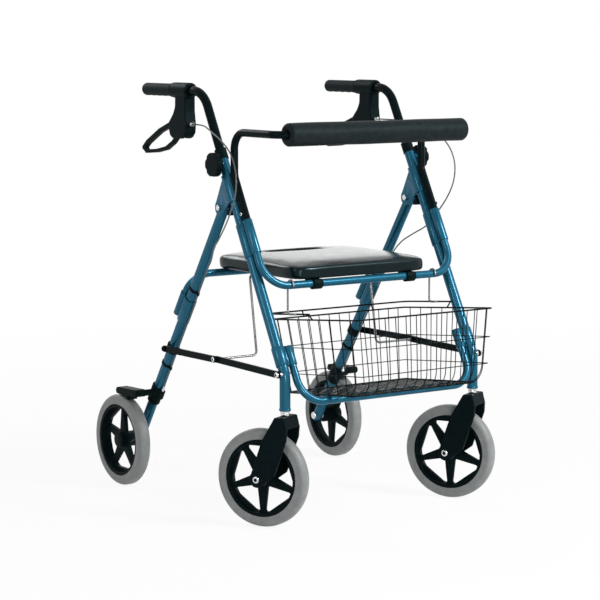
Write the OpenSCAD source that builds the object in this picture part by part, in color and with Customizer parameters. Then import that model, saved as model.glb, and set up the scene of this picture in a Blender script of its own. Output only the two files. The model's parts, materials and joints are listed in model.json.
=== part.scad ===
// Folding four-wheel rollator walker with seat, backrest and wire basket.
// Millimetres, +Z up, the walker's front faces -Y, the user's right hand is at -X.
// The origin is on the floor under the middle of the whole object.

/* [Front frame] */
// Distance between the centre lines of the two legs on one axle line
leg_spacing = 484; // [460:1:500]
// Outer diameter of a front leg
leg_od = 22; // [21.5:0.1:23]
// Wall of a front leg
leg_wall = 1.2; // [1:0.1:1.2]
// Backward lean of the front leg above its bend, in degrees
leg_lean = 28; // [27:0.5:29]
// Height of the front leg's lower end
leg_foot_z = 239; // [236:1:245]
// Height of the bend where the leg starts to lean
leg_bend_z = 312; // [308:1:316]
// Radius of that bend
leg_bend_r = 60; // [50:1:66]
// Length of the leaning part of the leg
leg_len = 477; // [470:1:485]
// Outer diameter of the crossbars and of the backrest tube
bar_od = 16; // [15:0.5:17]
// Wall of those tubes
bar_wall = 1.5; // [1:0.1:2]
// Wall of the clamps round the tubes
clamp_wall = 2; // [1.6:0.1:2.2]

/* [Crossbars] */
// Distance of the seat crossbar up the leg from its bend
seat_bar_up = 180; // [174:1:186]
// Distance of the seat crossbar's plane ahead of the leg's centre line
seat_bar_ahead = 22.5; // [22:0.1:23.5]
// Bend radius of the seat crossbar
seat_bar_r = 55; // [45:1:58]
// Distance of the upper clamps up the leg from its bend
upper_clamp_up = 254; // [250:1:260]
// Length of the upper clamps
upper_clamp_len = 73; // [66:1:78]
// Distance of the foot crossbar down from the bend, along the leg's lean
foot_bar_down = 63; // [58:1:66]
// Distance of the foot crossbar's ends inboard of the leg
foot_bar_inset = 24.5; // [24:0.5:27]
// Bend radius of the foot crossbar
foot_bar_r = 50; // [40:1:54]
// Distance of the lower clamps up the leg from its bend
lower_clamp_up = 18; // [17.5:0.5:22]
// Length of the lower clamps
lower_clamp_len = 40; // [34:1:44]

/* [Hinge] */
// Distance of the folding hinge below the top of the leg, along it
hinge_down = 114.6; // [110:0.2:120]
// Distance of the hinge behind the front leg's centre line
hinge_behind = 47.5; // [46:0.5:50]
// Diameter of the hinge bolts
hinge_bolt_d = 8; // [6:0.5:9]
// Thickness of the hinge plates
hinge_plate = 3; // [2.5:0.1:3.5]
// Radius of the hinge plates' round ends
hinge_round = 17; // [15:0.5:18]
// Length of the hinge collar on the leg
hinge_collar_len = 60; // [56:1:64]

/* [Rear frame] */
// Forward lean of the rear legs, in degrees
rear_lean = 33; // [32:0.5:34]
// Width of the rear leg, fore and aft
rear_leg_w = 24; // [22:0.5:25]
// Thickness of the rear leg
rear_leg_t = 18; // [16:0.5:18]
// Wall of the rear leg
rear_leg_wall = 1.5; // [1.2:0.1:2]
// Distance of the rear crossbar's plane behind the leg's centre line
rear_bar_behind = 24; // [23.5:0.5:25]
// Bend radius of the rear crossbar
rear_bar_r = 45; // [38:1:50]
// Length of the clamps on the rear legs
rear_clamp_len = 58; // [50:1:62]
// Wall of the sleeves round the rear legs
sleeve_wall = 3; // [2.6:0.1:3.2]

/* [Braces] */
// Height of the brace joints above the floor at the front leg
brace_front_z = 313; // [311:1:315]
// Height of the brace joint on the rear leg
brace_rear_z = 316; // [314:1:318]
// Distance of the brace's middle joint behind the front leg's foot
brace_knee_y = 226.5; // [220:0.5:232]
// Height of the middle joint
brace_knee_z = 317; // [316:0.5:319]
// Height of a brace bar
brace_bar_h = 14; // [12:0.5:15]
// Thickness of a brace bar
brace_bar_t = 4; // [3:0.1:4.2]
// Diameter of the brace pins
brace_pin_d = 6; // [5:0.5:7]
// Diameter of the lift wires
wire_d = 5; // [4:0.5:6]

/* [Wheels] */
// Diameter of all four wheels
wheel_d = 200; // [196:1:203]
// Width of the tyres
tyre_w = 28; // [26:0.5:30]
// Radius of the tyre's shoulders
tyre_round = 10; // [7:0.5:12]
// Height of the tyre over its hub
tyre_h = 21; // [18:0.5:23]
// Width of the hub's rim ring, measured along the radius
rim_h = 7; // [6:0.5:9]
// Thickness of the spokes
spoke_t = 9; // [7:0.5:11]
// Distance of the rear wheels' middle outboard of the legs
rear_wheel_out = 44; // [43:0.5:46]
// Diameter of the rear axles
axle_d = 10; // [8:0.5:11]

/* [Casters] */
// Distance of the caster axle behind its stem
caster_trail = 49; // [45:0.5:52]
// Turn of both casters as they stand, in degrees
caster_turn = 28; // [0:1:40]
// Diameter of the caster stems
stem_d = 12; // [10:0.5:13]
// Clear width between the fork's blades
fork_gap = 47; // [45:0.5:50]
// Thickness of a fork blade
fork_blade = 7; // [6:0.5:8]
// Height of the fork's top
fork_top_z = 229; // [227:0.5:230]

/* [Seat] */
// Width of the seat
seat_w = 352; // [340:1:356]
// Depth of the seat, fore and aft
seat_d = 314; // [306:1:320]
// Thickness of the seat board
board_t = 6; // [5:0.5:8]
// Height of the cushion's edge over the board
cushion_edge = 20; // [16:0.5:24]
// Rise of the cushion's crown over its edge
cushion_crown = 11; // [6:0.5:14]
// Length of the hand slot
slot_l = 150; // [120:1:170]
// Width of the hand slot
slot_w = 26; // [22:1:30]
// Distance of the slot's middle from the seat's rear edge
slot_from_rear = 68; // [60:1:76]
// Distance of the hinge clips from the middle of the crossbar
seat_clip_x = 120; // [110:1:125]

/* [Handles] */
// Height of the grips' centre line
handle_z = 868.5; // [862:0.5:876]
// Outer diameter of the telescoping handle tube
stem_od = 19; // [18.5:0.1:19.1]
// Wall of the handle tube
stem_wall = 1.5; // [1.2:0.1:2]
// Length of the handle tube inside the leg
stem_in = 140; // [130:1:150]
// Bend radius of the handle tube
handle_r = 60; // [50:1:66]
// Length of the handle's level part, from the bend's corner to the grip's end
handle_back = 228; // [222:1:236]
// Length of a grip
grip_len = 116; // [110:1:118]
// Diameter of a grip
grip_d = 27; // [25:0.5:29]
// Length of the black collars on the leg tops
collar_len = 19; // [14:0.5:22]
// Diameter of the height knobs
knob_d = 50; // [44:0.5:54]
// Thickness of the height knobs
knob_t = 13; // [10:0.5:15]
// Distance of the knob below the leg's top
knob_down = 14; // [13:0.5:18]

/* [Brakes] */
// Length of the brake housing's clamp on the handle tube
brake_clamp_len = 62; // [54:1:66]
// Width of the brake housing
brake_w = 26; // [24:0.5:28]
// Thickness of the brake lever
lever_t = 11; // [9:0.5:12]
// Clearance between the brake shoe and the tyre
shoe_gap = 3; // [2.5:0.1:4]
// Diameter of the brake cable
cable_d = 3; // [2.5:0.1:3.4]

/* [Backrest] */
// Height of the backrest pad's centre line
backrest_z = 788; // [782:1:794]
// Distance of the upright part of the tube behind the front leg's foot
backrest_up_y = 180; // [176:1:184]
// Distance of the pad's centre line behind the front leg's foot
backrest_pad_y = 18.5; // [10:0.5:26]
// Radius of the bends in the tube's side arms
backrest_up_r = 35; // [30:1:38]
// Radius of the bend into the pad
backrest_in_r = 30; // [26:0.5:34]
// Diameter of the pad
pad_d = 48; // [44:0.5:50]
// Distance of the pad's ends inboard of the legs
pad_inset = 18; // [12:0.5:22]

/* [Basket] */
// Width of the basket's rim, between wire centres
basket_w = 346; // [330:1:348]
// Depth of the basket's rim, fore and aft
basket_l = 298; // [280:1:304]
// Distance of the rim's middle behind the front leg's foot
basket_y = 1; // [-4:0.5:6]
// Height of the rim's middle
basket_z = 416.5; // [412:0.5:420]
// Upward tilt of the basket's front, in degrees
basket_tilt = 5.6; // [4:0.2:7]
// Lean of the front and rear walls, in degrees
end_lean = 4.5; // [3:0.5:6]
// Depth of the walls' lower ring below the rim, where the front wall starts to slope back
knee_down = 112; // [106:1:118]
// Distance that the front wall slopes back below that ring
slope_back = 40; // [34:1:46]
// Lean of the side walls, in degrees
side_lean = 6; // [4:0.5:8]
// Diameter of the rim wire
rim_wire = 5; // [4:0.5:6]
// Diameter of the wall wires
wall_wire = 2.5; // [2.2:0.1:3]
// Number of gaps across the front and rear walls
gaps_across = 12; // [10:1:16]
// Number of gaps along a side wall
gaps_along = 7; // [6:1:12]
// Number of gaps down every wall, above its lower ring
gaps_down = 2; // [1:1:4]
// Height of the rail over the rim
rail_up = 12; // [10:0.5:15]
// Distance of the rail behind the rim
rail_behind = 6; // [5:0.5:9]
// Length of the rail's side arms
rail_arm = 158; // [150:1:170]
// Diameter of the rail wire
rail_wire = 3.5; // [3:0.1:3.8]
// Thickness of the tray's floor
tray_t = 4; // [3:0.5:5]
// Height of the tray's rim over its floor
tray_lip = 10; // [8:0.5:14]

/* [Fits] */
// Clearance of parts that are fastened together
fit = 0.1; // [0.05:0.01:0.15]
// Radial running clearance of pins and bores
run = 0.05; // [0.03:0.01:0.09]
// Clearance between parts that move past each other
gap = 0.3; // [0.2:0.05:0.5]

/* [Hidden] */
$fn = 48;
eps = 1;
right = -1;
left = 1;
leg_x = leg_spacing / 2;
wheel_r = wheel_d / 2;
leg_r = leg_od / 2;
bar_r = bar_od / 2;
stem_r = stem_od / 2;
wire_r = wire_d / 2;
cable_r = cable_d / 2;

// A point [y, z] of the front leg's centre line, s up from the bend
function leg_at(s, ahead = 0) =
    [s * sin(leg_lean) - ahead * cos(leg_lean), leg_bend_z + s * cos(leg_lean) + ahead * sin(leg_lean)];
function unit(v) = v / norm(v);
function turned(v) = [-v[1], v[0]];

// Hinge, rear leg and axle
hinge_up = leg_len - hinge_down;
hinge_z = leg_at(hinge_up)[1];
hinge_y = leg_at(hinge_up)[0] + hinge_behind;
hinge = [hinge_y, hinge_z];
rear_len = (hinge_z - wheel_r) / cos(rear_lean);
axle_y = hinge_y + rear_len * sin(rear_lean);
// A point [y, z] of the rear leg's centre line, d down from the hinge and n ahead of it
function rear_at(d, n = 0) =
    [hinge_y + d * sin(rear_lean) - n * cos(rear_lean), hinge_z - d * cos(rear_lean) - n * sin(rear_lean)];
function rear_down(z) = (hinge_z - z) / cos(rear_lean);
collar_over_hinge = 15;
hinge_collar_up = hinge_up + collar_over_hinge;
hinge_collar_wall = 3;
hinge_collar_r = leg_r + hinge_collar_wall;
cheek_in = rear_leg_t / 2 + gap + fit;
hinge_head_lip = 1.8;
hinge_head_r = hinge_bolt_d / 2 + hinge_head_lip;
hinge_head_h = 5;

// Seat crossbar and what rests on it
seat_bar = leg_at(seat_bar_up, seat_bar_ahead);
seat_over_bar = 1;
seat_overhang = 7;
seat_bottom_z = seat_bar[1] + bar_r + seat_over_bar;
seat_front_y = seat_bar[0] - seat_overhang;
seat_mid_y = seat_front_y + seat_d / 2;
seat_rear_y = seat_front_y + seat_d;
cushion_z = seat_bottom_z + board_t + fit;
slot_y = seat_rear_y - slot_from_rear;
rear_bar_z = seat_bottom_z - gap - bar_r;
rear_bar_down = (hinge_z + rear_bar_behind * sin(rear_lean) - rear_bar_z) / cos(rear_lean);
clamp_off_bend = 3;
rear_clamp_down = rear_bar_down + rear_bar_r + clamp_off_bend;
foot_bar = leg_at(-foot_bar_down);
foot_bar_x = leg_x - foot_bar_inset;

// Braces stand outboard of the clamps, front bar inside the rear bar
brace_front = [0, brace_front_z];
brace_knee = [brace_knee_y, brace_knee_z];
brace_rear_down = rear_down(brace_rear_z);
brace_rear = rear_at(brace_rear_down);
brace_off_clamp = 1;
front_bar_x = leg_x + leg_r + clamp_wall + brace_off_clamp;
rear_bar_x = front_bar_x + brace_bar_t + gap;
knee_head_h = 2.5;
pin_r = brace_pin_d / 2;
pin_head_lip = 2.5;
pin_head_r = pin_r + pin_head_lip;
pin_head_h = 3;

// Lift wires hang from the seat and reach out to the middle brace joints
wire_eye_back = 188;
wire_under_board = 3.5;
wire_inset = 19;
wire_pin_len = 18;
wire_top = [seat_bar[0] + wire_eye_back, seat_bottom_z - wire_r - wire_under_board];
wire_len = norm(brace_knee - wire_top);
wire_x = seat_w / 2 - wire_inset;
wire_pin_x = wire_x - wire_pin_len;
wire_end_x = front_bar_x - knee_head_h - gap;
wire_bend_r = 10;

// Rear wheels
rear_wheel_x = leg_x + rear_wheel_out;
tyre_in = wheel_r - tyre_h;
rim_in = tyre_in - fit - rim_h;
rim_step = 3;
rim_w = tyre_w - rim_step;
hub_r = 17;
axle_r = axle_d / 2;
hub_off_leg = 3.5;
hub_sunk = 1.5;
hub_cap_t = 3;
rear_hub_in = leg_x + rear_leg_t / 2 + hub_off_leg;
rear_hub_out = rear_wheel_x + tyre_w / 2 - hub_sunk;
axle_head_h = 5;
axle_head_lip = 3;

// Casters
caster_axle_r = 4;
fork_out = fork_gap / 2 + fork_blade;
fork_over_tyre = 5;
fork_crown_z = wheel_d + fork_over_tyre;
front_hub_half = fork_gap / 2 - gap;
bearing_len = 45;
bearing_step = 4;
stem_top_z = leg_foot_z + bearing_len;
bearing_flange = 3;
caster_head_lip = 3;
caster_head_h = 3;

// Handles
handle_corner = leg_at((handle_z - leg_bend_z) / cos(leg_lean));
grip_end_y = handle_corner[0] + handle_back;
grip_front_y = grip_end_y - grip_len;
grip_end_t = 4;
grip_cap_r = 6;
grip_flange_t = 5;
grip_to_brake = 2;
brake_rear_y = grip_front_y - grip_to_brake;
brake_front_y = brake_rear_y - brake_clamp_len;
brake_y = (brake_front_y + brake_rear_y) / 2;
brake_clamp_r = 16.5;
knob_up = leg_len - knob_down;
knob_boss = 7;
knob_boss_wall = 4;
knob_off_boss = 1;
knob_screw_r = 4;
knob_x = leg_x + leg_r + knob_boss + knob_off_boss;
lever_pivot_ahead = 2;
lever_pivot_down = 74;
lever_pivot = [brake_y - lever_pivot_ahead, handle_z - lever_pivot_down];
lever_pin_r = 3;
// Centre lines of the lever's two bars, from the pivot out to the tip and back
lever_out = [[30, 8], [92, -14], [142, -40], [157, -52]];
lever_back = [[157, -52], [146, -60], [104, -57], [66, -50], [38, -36], [6, -10]];
lever_out_r = 5;
lever_back_r = 4;

// Brake bracket on the rear leg, and the shoe over the tyre
brake_z = 212;
brake_down = rear_down(brake_z);
bracket_up = 17;
bracket_len = 44;
shoe_pivot = rear_at(brake_down);
shoe_pin_r = 4;
shoe_inset = 1;
shoe_w = tyre_w - 2 * shoe_inset;
shoe_reach = 72;
cable_off_sleeve = 1.2;
cable_ahead = rear_leg_w / 2 + sleeve_wall + cable_r + cable_off_sleeve;
cable_low = brake_down - bracket_up - fit;
cable_high = 140;
cable_landing = 16;
clip_spots = [212, 417];

// Backrest tube: it meets the seat crossbar's end half way up the sleeve
sleeve_gap = 1;
sleeve_middle = upper_clamp_up + upper_clamp_len / 2;
backrest_low = leg_at(sleeve_middle + sleeve_gap, seat_bar_ahead);
backrest_bend_s = (backrest_up_y + seat_bar_ahead * cos(leg_lean)) / sin(leg_lean);
backrest_bend = leg_at(backrest_bend_s, seat_bar_ahead);
pad_half = leg_x - pad_inset;
pad_r = pad_d / 2;

// Basket: the tray rests on the foot crossbar
foot_dy = foot_bar[0] - basket_y;
foot_dz = foot_bar[1] - basket_z;
tray_z = foot_dy * sin(basket_tilt) + foot_dz * cos(basket_tilt) + bar_r + gap;
wire_under_rim = 0.2;
wall_top = -rim_wire / 2 - wire_under_rim;
knee_z = -knee_down;
low_ring_z = tray_z + wall_wire;
function half_width(z) = basket_w / 2 + z * tan(side_lean);
function half_length(z) = basket_l / 2 + z * tan(end_lean);
corner_gap = 5;
front_low = slope_back - half_length(knee_z);
tray_clear = 1;
tray_w = 2 * half_width(tray_z) - wall_wire - tray_clear;
tray_front = front_low + wall_wire + tray_clear / 2;
tray_rear = half_length(tray_z) - wall_wire / 2 - tray_clear / 2;
tray_l = tray_rear - tray_front;
hook_off_seat = 7;
hook_off_rim = 10;
hook_x = max(seat_w / 2 + hook_off_seat, basket_w / 2 + hook_off_rim);
hook_wire = 4;
hook_bend_r = bar_r + gap + hook_wire / 2;

// The whole object's middle, which the origin stands under
caster_reach = (wheel_r - tyre_round) * sin(caster_turn) + (tyre_w / 2 - tyre_round) * cos(caster_turn)
    + tyre_round + caster_trail * sin(caster_turn);
low_x = -leg_x - caster_reach;
high_x = rear_wheel_x + tyre_w / 2;
low_y = basket_y - basket_l / 2 * cos(basket_tilt) - rim_wire / 2;
high_y = axle_y + wheel_r;
middle_x = (low_x + high_x) / 2;
middle_y = (low_y + high_y) / 2;

function on_rear_leg(d) = [0, rear_at(d, cable_ahead)[0], rear_at(d, cable_ahead)[1]];
// A brake cable's free stretch, from the housing to the rear leg: [outboard, y, z]
housing_front = 27;
adjuster_len = 12;
adjuster_down = 70;
adjuster_y = brake_y - housing_front - adjuster_len;
adjuster_z = handle_z - adjuster_down;
cable_route = [
    [0, adjuster_y - fit, adjuster_z],
    [3, adjuster_y - 25, adjuster_z],
    [16, 266, 797],
    [30, 220, 788],
    [37, 175, 773],
    [39, 140, 752],
    [40, 120, 726],
    [40, 113, 698],
    [39, 118, 667],
    [37, 135, 636],
    [33, 161, 604],
    [28, 196, 570],
    [20, 228, 546],
    [8, 254, 527],
    on_rear_leg(cable_high - cable_landing),
    on_rear_leg(cable_high)];

// Colours
frame_blue = [0.05, 0.32, 0.45];
plastic_black = [0.05, 0.06, 0.07];
tyre_grey = [0.52, 0.54, 0.55];
chrome = [0.8, 0.82, 0.84];

// Moves the walker's own lines, measured from the caster stems, to the part's origin
module place() {
    translate([-middle_x, -middle_y, 0]) children();
}

// Drawing planes: first and second drawn axis become Y and Z, and thickness runs along X
module side_plane(x) {
    translate([x, 0, 0]) rotate([90, 0, 90]) children();
}

// Axes on the front leg: Z runs up the leg, -Y points ahead of it
module leg_axes(x) {
    translate([x, 0, leg_bend_z]) rotate([-leg_lean, 0, 0]) children();
}

// Axes on the rear leg: Z runs down the leg from the hinge, +Y points ahead of it
module rear_axes(x) {
    translate([x, hinge_y, hinge_z]) rotate([180 + rear_lean, 0, 0]) children();
}

// Axes of a caster: Y trails behind the stem
module caster_axes(side) {
    translate([side * leg_x, 0, 0]) rotate([0, 0, caster_turn]) children();
}

// Axes of the basket: its rim lies in the XY plane
module basket_axes() {
    translate([0, basket_y, basket_z]) rotate([-basket_tilt, 0, 0]) children();
}

// A cylinder along X between two distances from the middle, on one side
module cross_rod(side, from_x, to_x, at, r) {
    translate([side * from_x, at[0], at[1]]) rotate([0, side * 90, 0]) cylinder(r = r, h = to_x - from_x);
}

// Length of straight that a bend takes up at one corner
function corner_turn(points, i) =
    let (u = unit(points[i] - points[i - 1]), v = unit(points[i + 1] - points[i]))
    atan2(u[0] * v[1] - u[1] * v[0], u[0] * v[0] + u[1] * v[1]);
function bend_cut(points, i, bend_r) =
    (i == 0 || i == len(points) - 1) ? 0 : bend_r * tan(abs(corner_turn(points, i)) / 2);

// A round rod along corner points in the drawing plane, with equal bends.
// The bends are a hair thinner than the straights, which reach a little way into them.
bend_lap = 0.8;
bend_thin = 0.05;
module rod(points, bend_r, r) {
    last = len(points) - 1;
    for (i = [0 : last - 1]) {
        along = unit(points[i + 1] - points[i]);
        start = points[i] + along * (bend_cut(points, i, bend_r) - (i > 0 ? bend_lap : 0));
        stop = points[i + 1] - along * (bend_cut(points, i + 1, bend_r) - (i + 1 < last ? bend_lap : 0));
        translate([start[0], start[1], 0])
            rotate([0, 0, atan2(along[1], along[0])])
                rotate([0, 90, 0]) cylinder(r = r, h = norm(stop - start));
    }
    if (last > 1) for (i = [1 : last - 1]) {
        along = unit(points[i] - points[i - 1]);
        angle = corner_turn(points, i);
        start = points[i] - along * bend_cut(points, i, bend_r);
        inward = turned(along) * sign(angle);
        middle = start + inward * bend_r;
        first = atan2(-inward[1], -inward[0]);
        translate([middle[0], middle[1], 0])
            rotate([0, 0, angle > 0 ? first : first + angle])
                rotate_extrude(angle = abs(angle)) translate([bend_r, 0]) circle(r = r - bend_thin);
    }
}

// The same corner points with both ends drawn out a little
function drawn_out(points) =
    let (last = len(points) - 1)
    [for (i = [0 : last])
        i == 0 ? points[0] + unit(points[0] - points[1]) * eps
        : i == last ? points[last] + unit(points[last] - points[last - 1]) * eps
        : points[i]];

// A tube along corner points
module tube(points, bend_r, r, wall) {
    difference() {
        rod(points, bend_r, r);
        rod(drawn_out(points), bend_r, r - wall);
    }
}

// A flat bar with round ends between two points
module bar_2d(from, to, r) {
    side = turned(unit(to - from)) * r;
    polygon([from + side, from - side, to - side, to + side]);
    translate(from) circle(r = r);
    translate(to) circle(r = r);
}

// A row of flat bars from point to point; the round joints stand a hair proud of the bars
joint_proud = 0.06;
module chain_2d(points, r) {
    for (p = points) translate(p) circle(r = r + joint_proud);
    for (i = [0 : len(points) - 2]) {
        side = turned(unit(points[i + 1] - points[i])) * r;
        polygon([points[i] + side, points[i] - side, points[i + 1] - side, points[i + 1] + side]);
    }
}

// The rear leg's flat-oval section, grown by a margin
module leg_oval(grow = 0) {
    r = rear_leg_t / 2 + grow;
    half = (rear_leg_w - rear_leg_t) / 2;
    translate([0, half]) circle(r = r);
    translate([0, -half]) circle(r = r);
    translate([-r, -half]) square([2 * r, 2 * half]);
}

// Front leg: upright foot, bend and leaning tube, with a boss for the knob's screw
function leg_points() = [[0, leg_foot_z], [0, leg_bend_z], leg_at(leg_len)];
module front_leg(side) {
    color(frame_blue) difference() {
        union() {
            side_plane(side * leg_x) rod(leg_points(), leg_bend_r, leg_r);
            cross_rod(side, leg_x, leg_x + leg_r + knob_boss, leg_at(knob_up),
                knob_screw_r + knob_boss_wall);
        }
        side_plane(side * leg_x) rod(drawn_out(leg_points()), leg_bend_r, leg_r - leg_wall);
        cross_rod(side, leg_x, leg_x + leg_r + knob_boss + eps, leg_at(knob_up), knob_screw_r + run);
    }
}

// U tubes between the legs, drawn in a plane that leans with the legs
module u_tube(x, end, level, bend_r) {
    tube([[-x, end], [-x, level], [x, level], [x, end]], bend_r, bar_r, bar_wall);
}
module lean_plane(ahead) {
    translate([0, 0, leg_bend_z]) rotate([90 - leg_lean, 0, 0]) translate([0, 0, ahead]) children();
}
module seat_crossbar() {
    color(frame_blue) lean_plane(seat_bar_ahead)
        u_tube(leg_x, sleeve_middle - sleeve_gap, seat_bar_up, seat_bar_r);
}
bar_end_in = 1;
module foot_crossbar() {
    color(frame_blue) lean_plane(0)
        u_tube(foot_bar_x, lower_clamp_up + lower_clamp_len - bar_end_in, -foot_bar_down, foot_bar_r);
}

// Clamps that hold a crossbar's end beside a front leg
module barrel(r, up, length) {
    translate([0, 0, up]) cylinder(r = r, h = length);
}
module upper_clamp(side) {
    leg_axes(side * leg_x) difference() {
        union() {
            barrel(leg_r + clamp_wall, upper_clamp_up, upper_clamp_len);
            translate([0, -seat_bar_ahead, 0]) barrel(bar_r + clamp_wall, upper_clamp_up, upper_clamp_len);
        }
        barrel(leg_r + fit, upper_clamp_up - eps, upper_clamp_len + 2 * eps);
        translate([0, -seat_bar_ahead, 0])
            barrel(bar_r + fit, upper_clamp_up - eps, upper_clamp_len + 2 * eps);
    }
}
module lower_clamp(side) {
    web = bar_r;
    leg_axes(side * leg_x) difference() {
        union() {
            barrel(leg_r + clamp_wall, lower_clamp_up, lower_clamp_len);
            translate([-side * foot_bar_inset, 0, 0])
                barrel(bar_r + clamp_wall, lower_clamp_up, lower_clamp_len);
            translate([-side * foot_bar_inset / 2, 0, lower_clamp_up + lower_clamp_len / 2])
                cube([foot_bar_inset, web, lower_clamp_len], center = true);
        }
        barrel(leg_r + fit, lower_clamp_up - eps, lower_clamp_len + 2 * eps);
        translate([-side * foot_bar_inset, 0, 0])
            barrel(bar_r + fit, lower_clamp_up - eps, lower_clamp_len + 2 * eps);
    }
}
module tube_clamps() {
    color(frame_blue) for (side = [right, left]) {
        upper_clamp(side);
        lower_clamp(side);
    }
}

// Hinge bracket: a collar on the front leg with two plates that carry the rear leg
module hinge_plate_2d() {
    inset = 2;
    low = leg_at(hinge_collar_up + inset);
    high = leg_at(hinge_collar_up + hinge_collar_len - inset);
    up_side = -turned(unit(high - hinge)) * hinge_round;
    low_side = turned(unit(low - hinge)) * hinge_round;
    polygon([low, high, hinge + up_side, hinge, hinge + low_side]);
    translate(hinge) circle(r = hinge_round);
}
module hinge_brackets() {
    reach = 40;
    color(frame_blue) for (side = [right, left]) difference() {
        union() {
            leg_axes(side * leg_x) barrel(hinge_collar_r, hinge_collar_up, hinge_collar_len);
            for (face = [-cheek_in - hinge_plate, cheek_in])
                side_plane(side * leg_x + face) linear_extrude(hinge_plate) hinge_plate_2d();
        }
        leg_axes(side * leg_x) barrel(leg_r + fit, hinge_collar_up - reach, hinge_collar_len + 2 * reach);
        cross_rod(side, leg_x - reach, leg_x + reach, hinge, hinge_bolt_d / 2 + fit);
    }
}

// Black plastic: guide collars on the leg tops and stop blocks in the hinge brackets
module frame_bushes() {
    skirt = 4;
    wall = 1.5;
    stop_under_collar = 14;
    stop_behind = 20;
    stop = leg_at(hinge_collar_up - stop_under_collar, -stop_behind);
    stop_r = 6;
    color(plastic_black) for (side = [right, left]) {
        leg_axes(side * leg_x) difference() {
            translate([0, 0, leg_len - skirt]) cylinder(r = leg_r + wall, h = skirt + collar_len);
            translate([0, 0, leg_len - skirt - eps]) cylinder(r = leg_r + fit, h = skirt + eps + fit);
            translate([0, 0, leg_len - eps]) cylinder(r = stem_r + fit, h = collar_len + 2 * eps);
        }
        cross_rod(side, leg_x - cheek_in + fit, leg_x + cheek_in - fit, stop, stop_r);
    }
}

// Hinge bolts, and the studs on the front legs that carry the braces
module frame_bolts() {
    plate_out = cheek_in + hinge_plate + fit;
    saddle_out = front_bar_x - gap;
    stud_out = front_bar_x + brace_bar_t + gap;
    color(chrome) for (side = [right, left]) {
        cross_rod(side, leg_x - plate_out, leg_x + plate_out, hinge, hinge_bolt_d / 2);
        cross_rod(side, leg_x + plate_out, leg_x + plate_out + hinge_head_h, hinge, hinge_head_r);
        cross_rod(side, leg_x - plate_out - hinge_head_h, leg_x - plate_out, hinge, hinge_head_r);
        difference() {
            cross_rod(side, leg_x, saddle_out, brace_front, pin_head_r);
            side_plane(side * leg_x) rod(leg_points(), leg_bend_r, leg_r + fit);
        }
        cross_rod(side, saddle_out, stud_out, brace_front, pin_r);
        cross_rod(side, stud_out, stud_out + pin_head_h, brace_front, pin_head_r);
    }
}

// Steel bearings in the feet of the front legs
module caster_bearings() {
    flange_in = 1;
    color(chrome) for (side = [right, left]) translate([side * leg_x, 0, 0]) difference() {
        union() {
            translate([0, 0, leg_foot_z - bearing_flange])
                cylinder(r = leg_r - flange_in, h = bearing_flange - fit);
            translate([0, 0, leg_foot_z - bearing_flange])
                cylinder(r = leg_r - leg_wall - fit, h = stem_top_z - leg_foot_z);
        }
        translate([0, 0, leg_foot_z - bearing_flange - eps])
            cylinder(r = stem_d / 2 + run, h = stem_top_z);
    }
}

// Rear leg: a flat-oval tube with round ends at the hinge and at the axle
module rear_leg(side) {
    end_plug = 26;
    drain_r = 2;
    end_r = rear_leg_w / 2;
    color(frame_blue) rear_axes(side * leg_x) difference() {
        intersection() {
            translate([0, 0, -end_r]) linear_extrude(rear_len + 2 * end_r) leg_oval();
            union() {
                translate([-rear_leg_t, -end_r, 0]) cube([2 * rear_leg_t, 2 * end_r, rear_len]);
                for (d = [0, rear_len])
                    translate([-rear_leg_t, 0, d]) rotate([0, 90, 0]) cylinder(r = end_r, h = 2 * rear_leg_t);
            }
        }
        translate([0, 0, end_plug]) linear_extrude(rear_len - 2 * end_plug) leg_oval(-rear_leg_wall);
        translate([0, 0, rear_len - end_plug - 2 * drain_r]) rotate([0, -side * 90, 0])
            cylinder(r = drain_r, h = rear_leg_t);
        translate([-rear_leg_t, 0, 0]) rotate([0, 90, 0])
            cylinder(r = hinge_bolt_d / 2 + run, h = 2 * rear_leg_t);
        translate([-rear_leg_t, 0, rear_len]) rotate([0, 90, 0])
            cylinder(r = axle_r + fit, h = 2 * rear_leg_t);
    }
}

// Rear crossbar, an inverted U behind the rear legs, and its clamps
module rear_crossbar() {
    color(frame_blue) translate([0, hinge_y, hinge_z]) rotate([90 + rear_lean, 0, 0])
        translate([0, 0, -rear_bar_behind])
            u_tube(leg_x, -rear_clamp_down - rear_clamp_len + bar_end_in, -rear_bar_down, rear_bar_r);
}
module rear_clamps() {
    color(frame_blue) for (side = [right, left]) rear_axes(side * leg_x) difference() {
        union() {
            translate([0, 0, rear_clamp_down]) linear_extrude(rear_clamp_len) leg_oval(sleeve_wall);
            translate([0, -rear_bar_behind, 0])
                barrel(bar_r + clamp_wall, rear_clamp_down, rear_clamp_len);
        }
        translate([0, 0, rear_clamp_down - eps]) linear_extrude(rear_clamp_len + 2 * eps) leg_oval(fit);
        translate([0, -rear_bar_behind, 0])
            barrel(bar_r + fit, rear_clamp_down - eps, rear_clamp_len + 2 * eps);
    }
}

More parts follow.
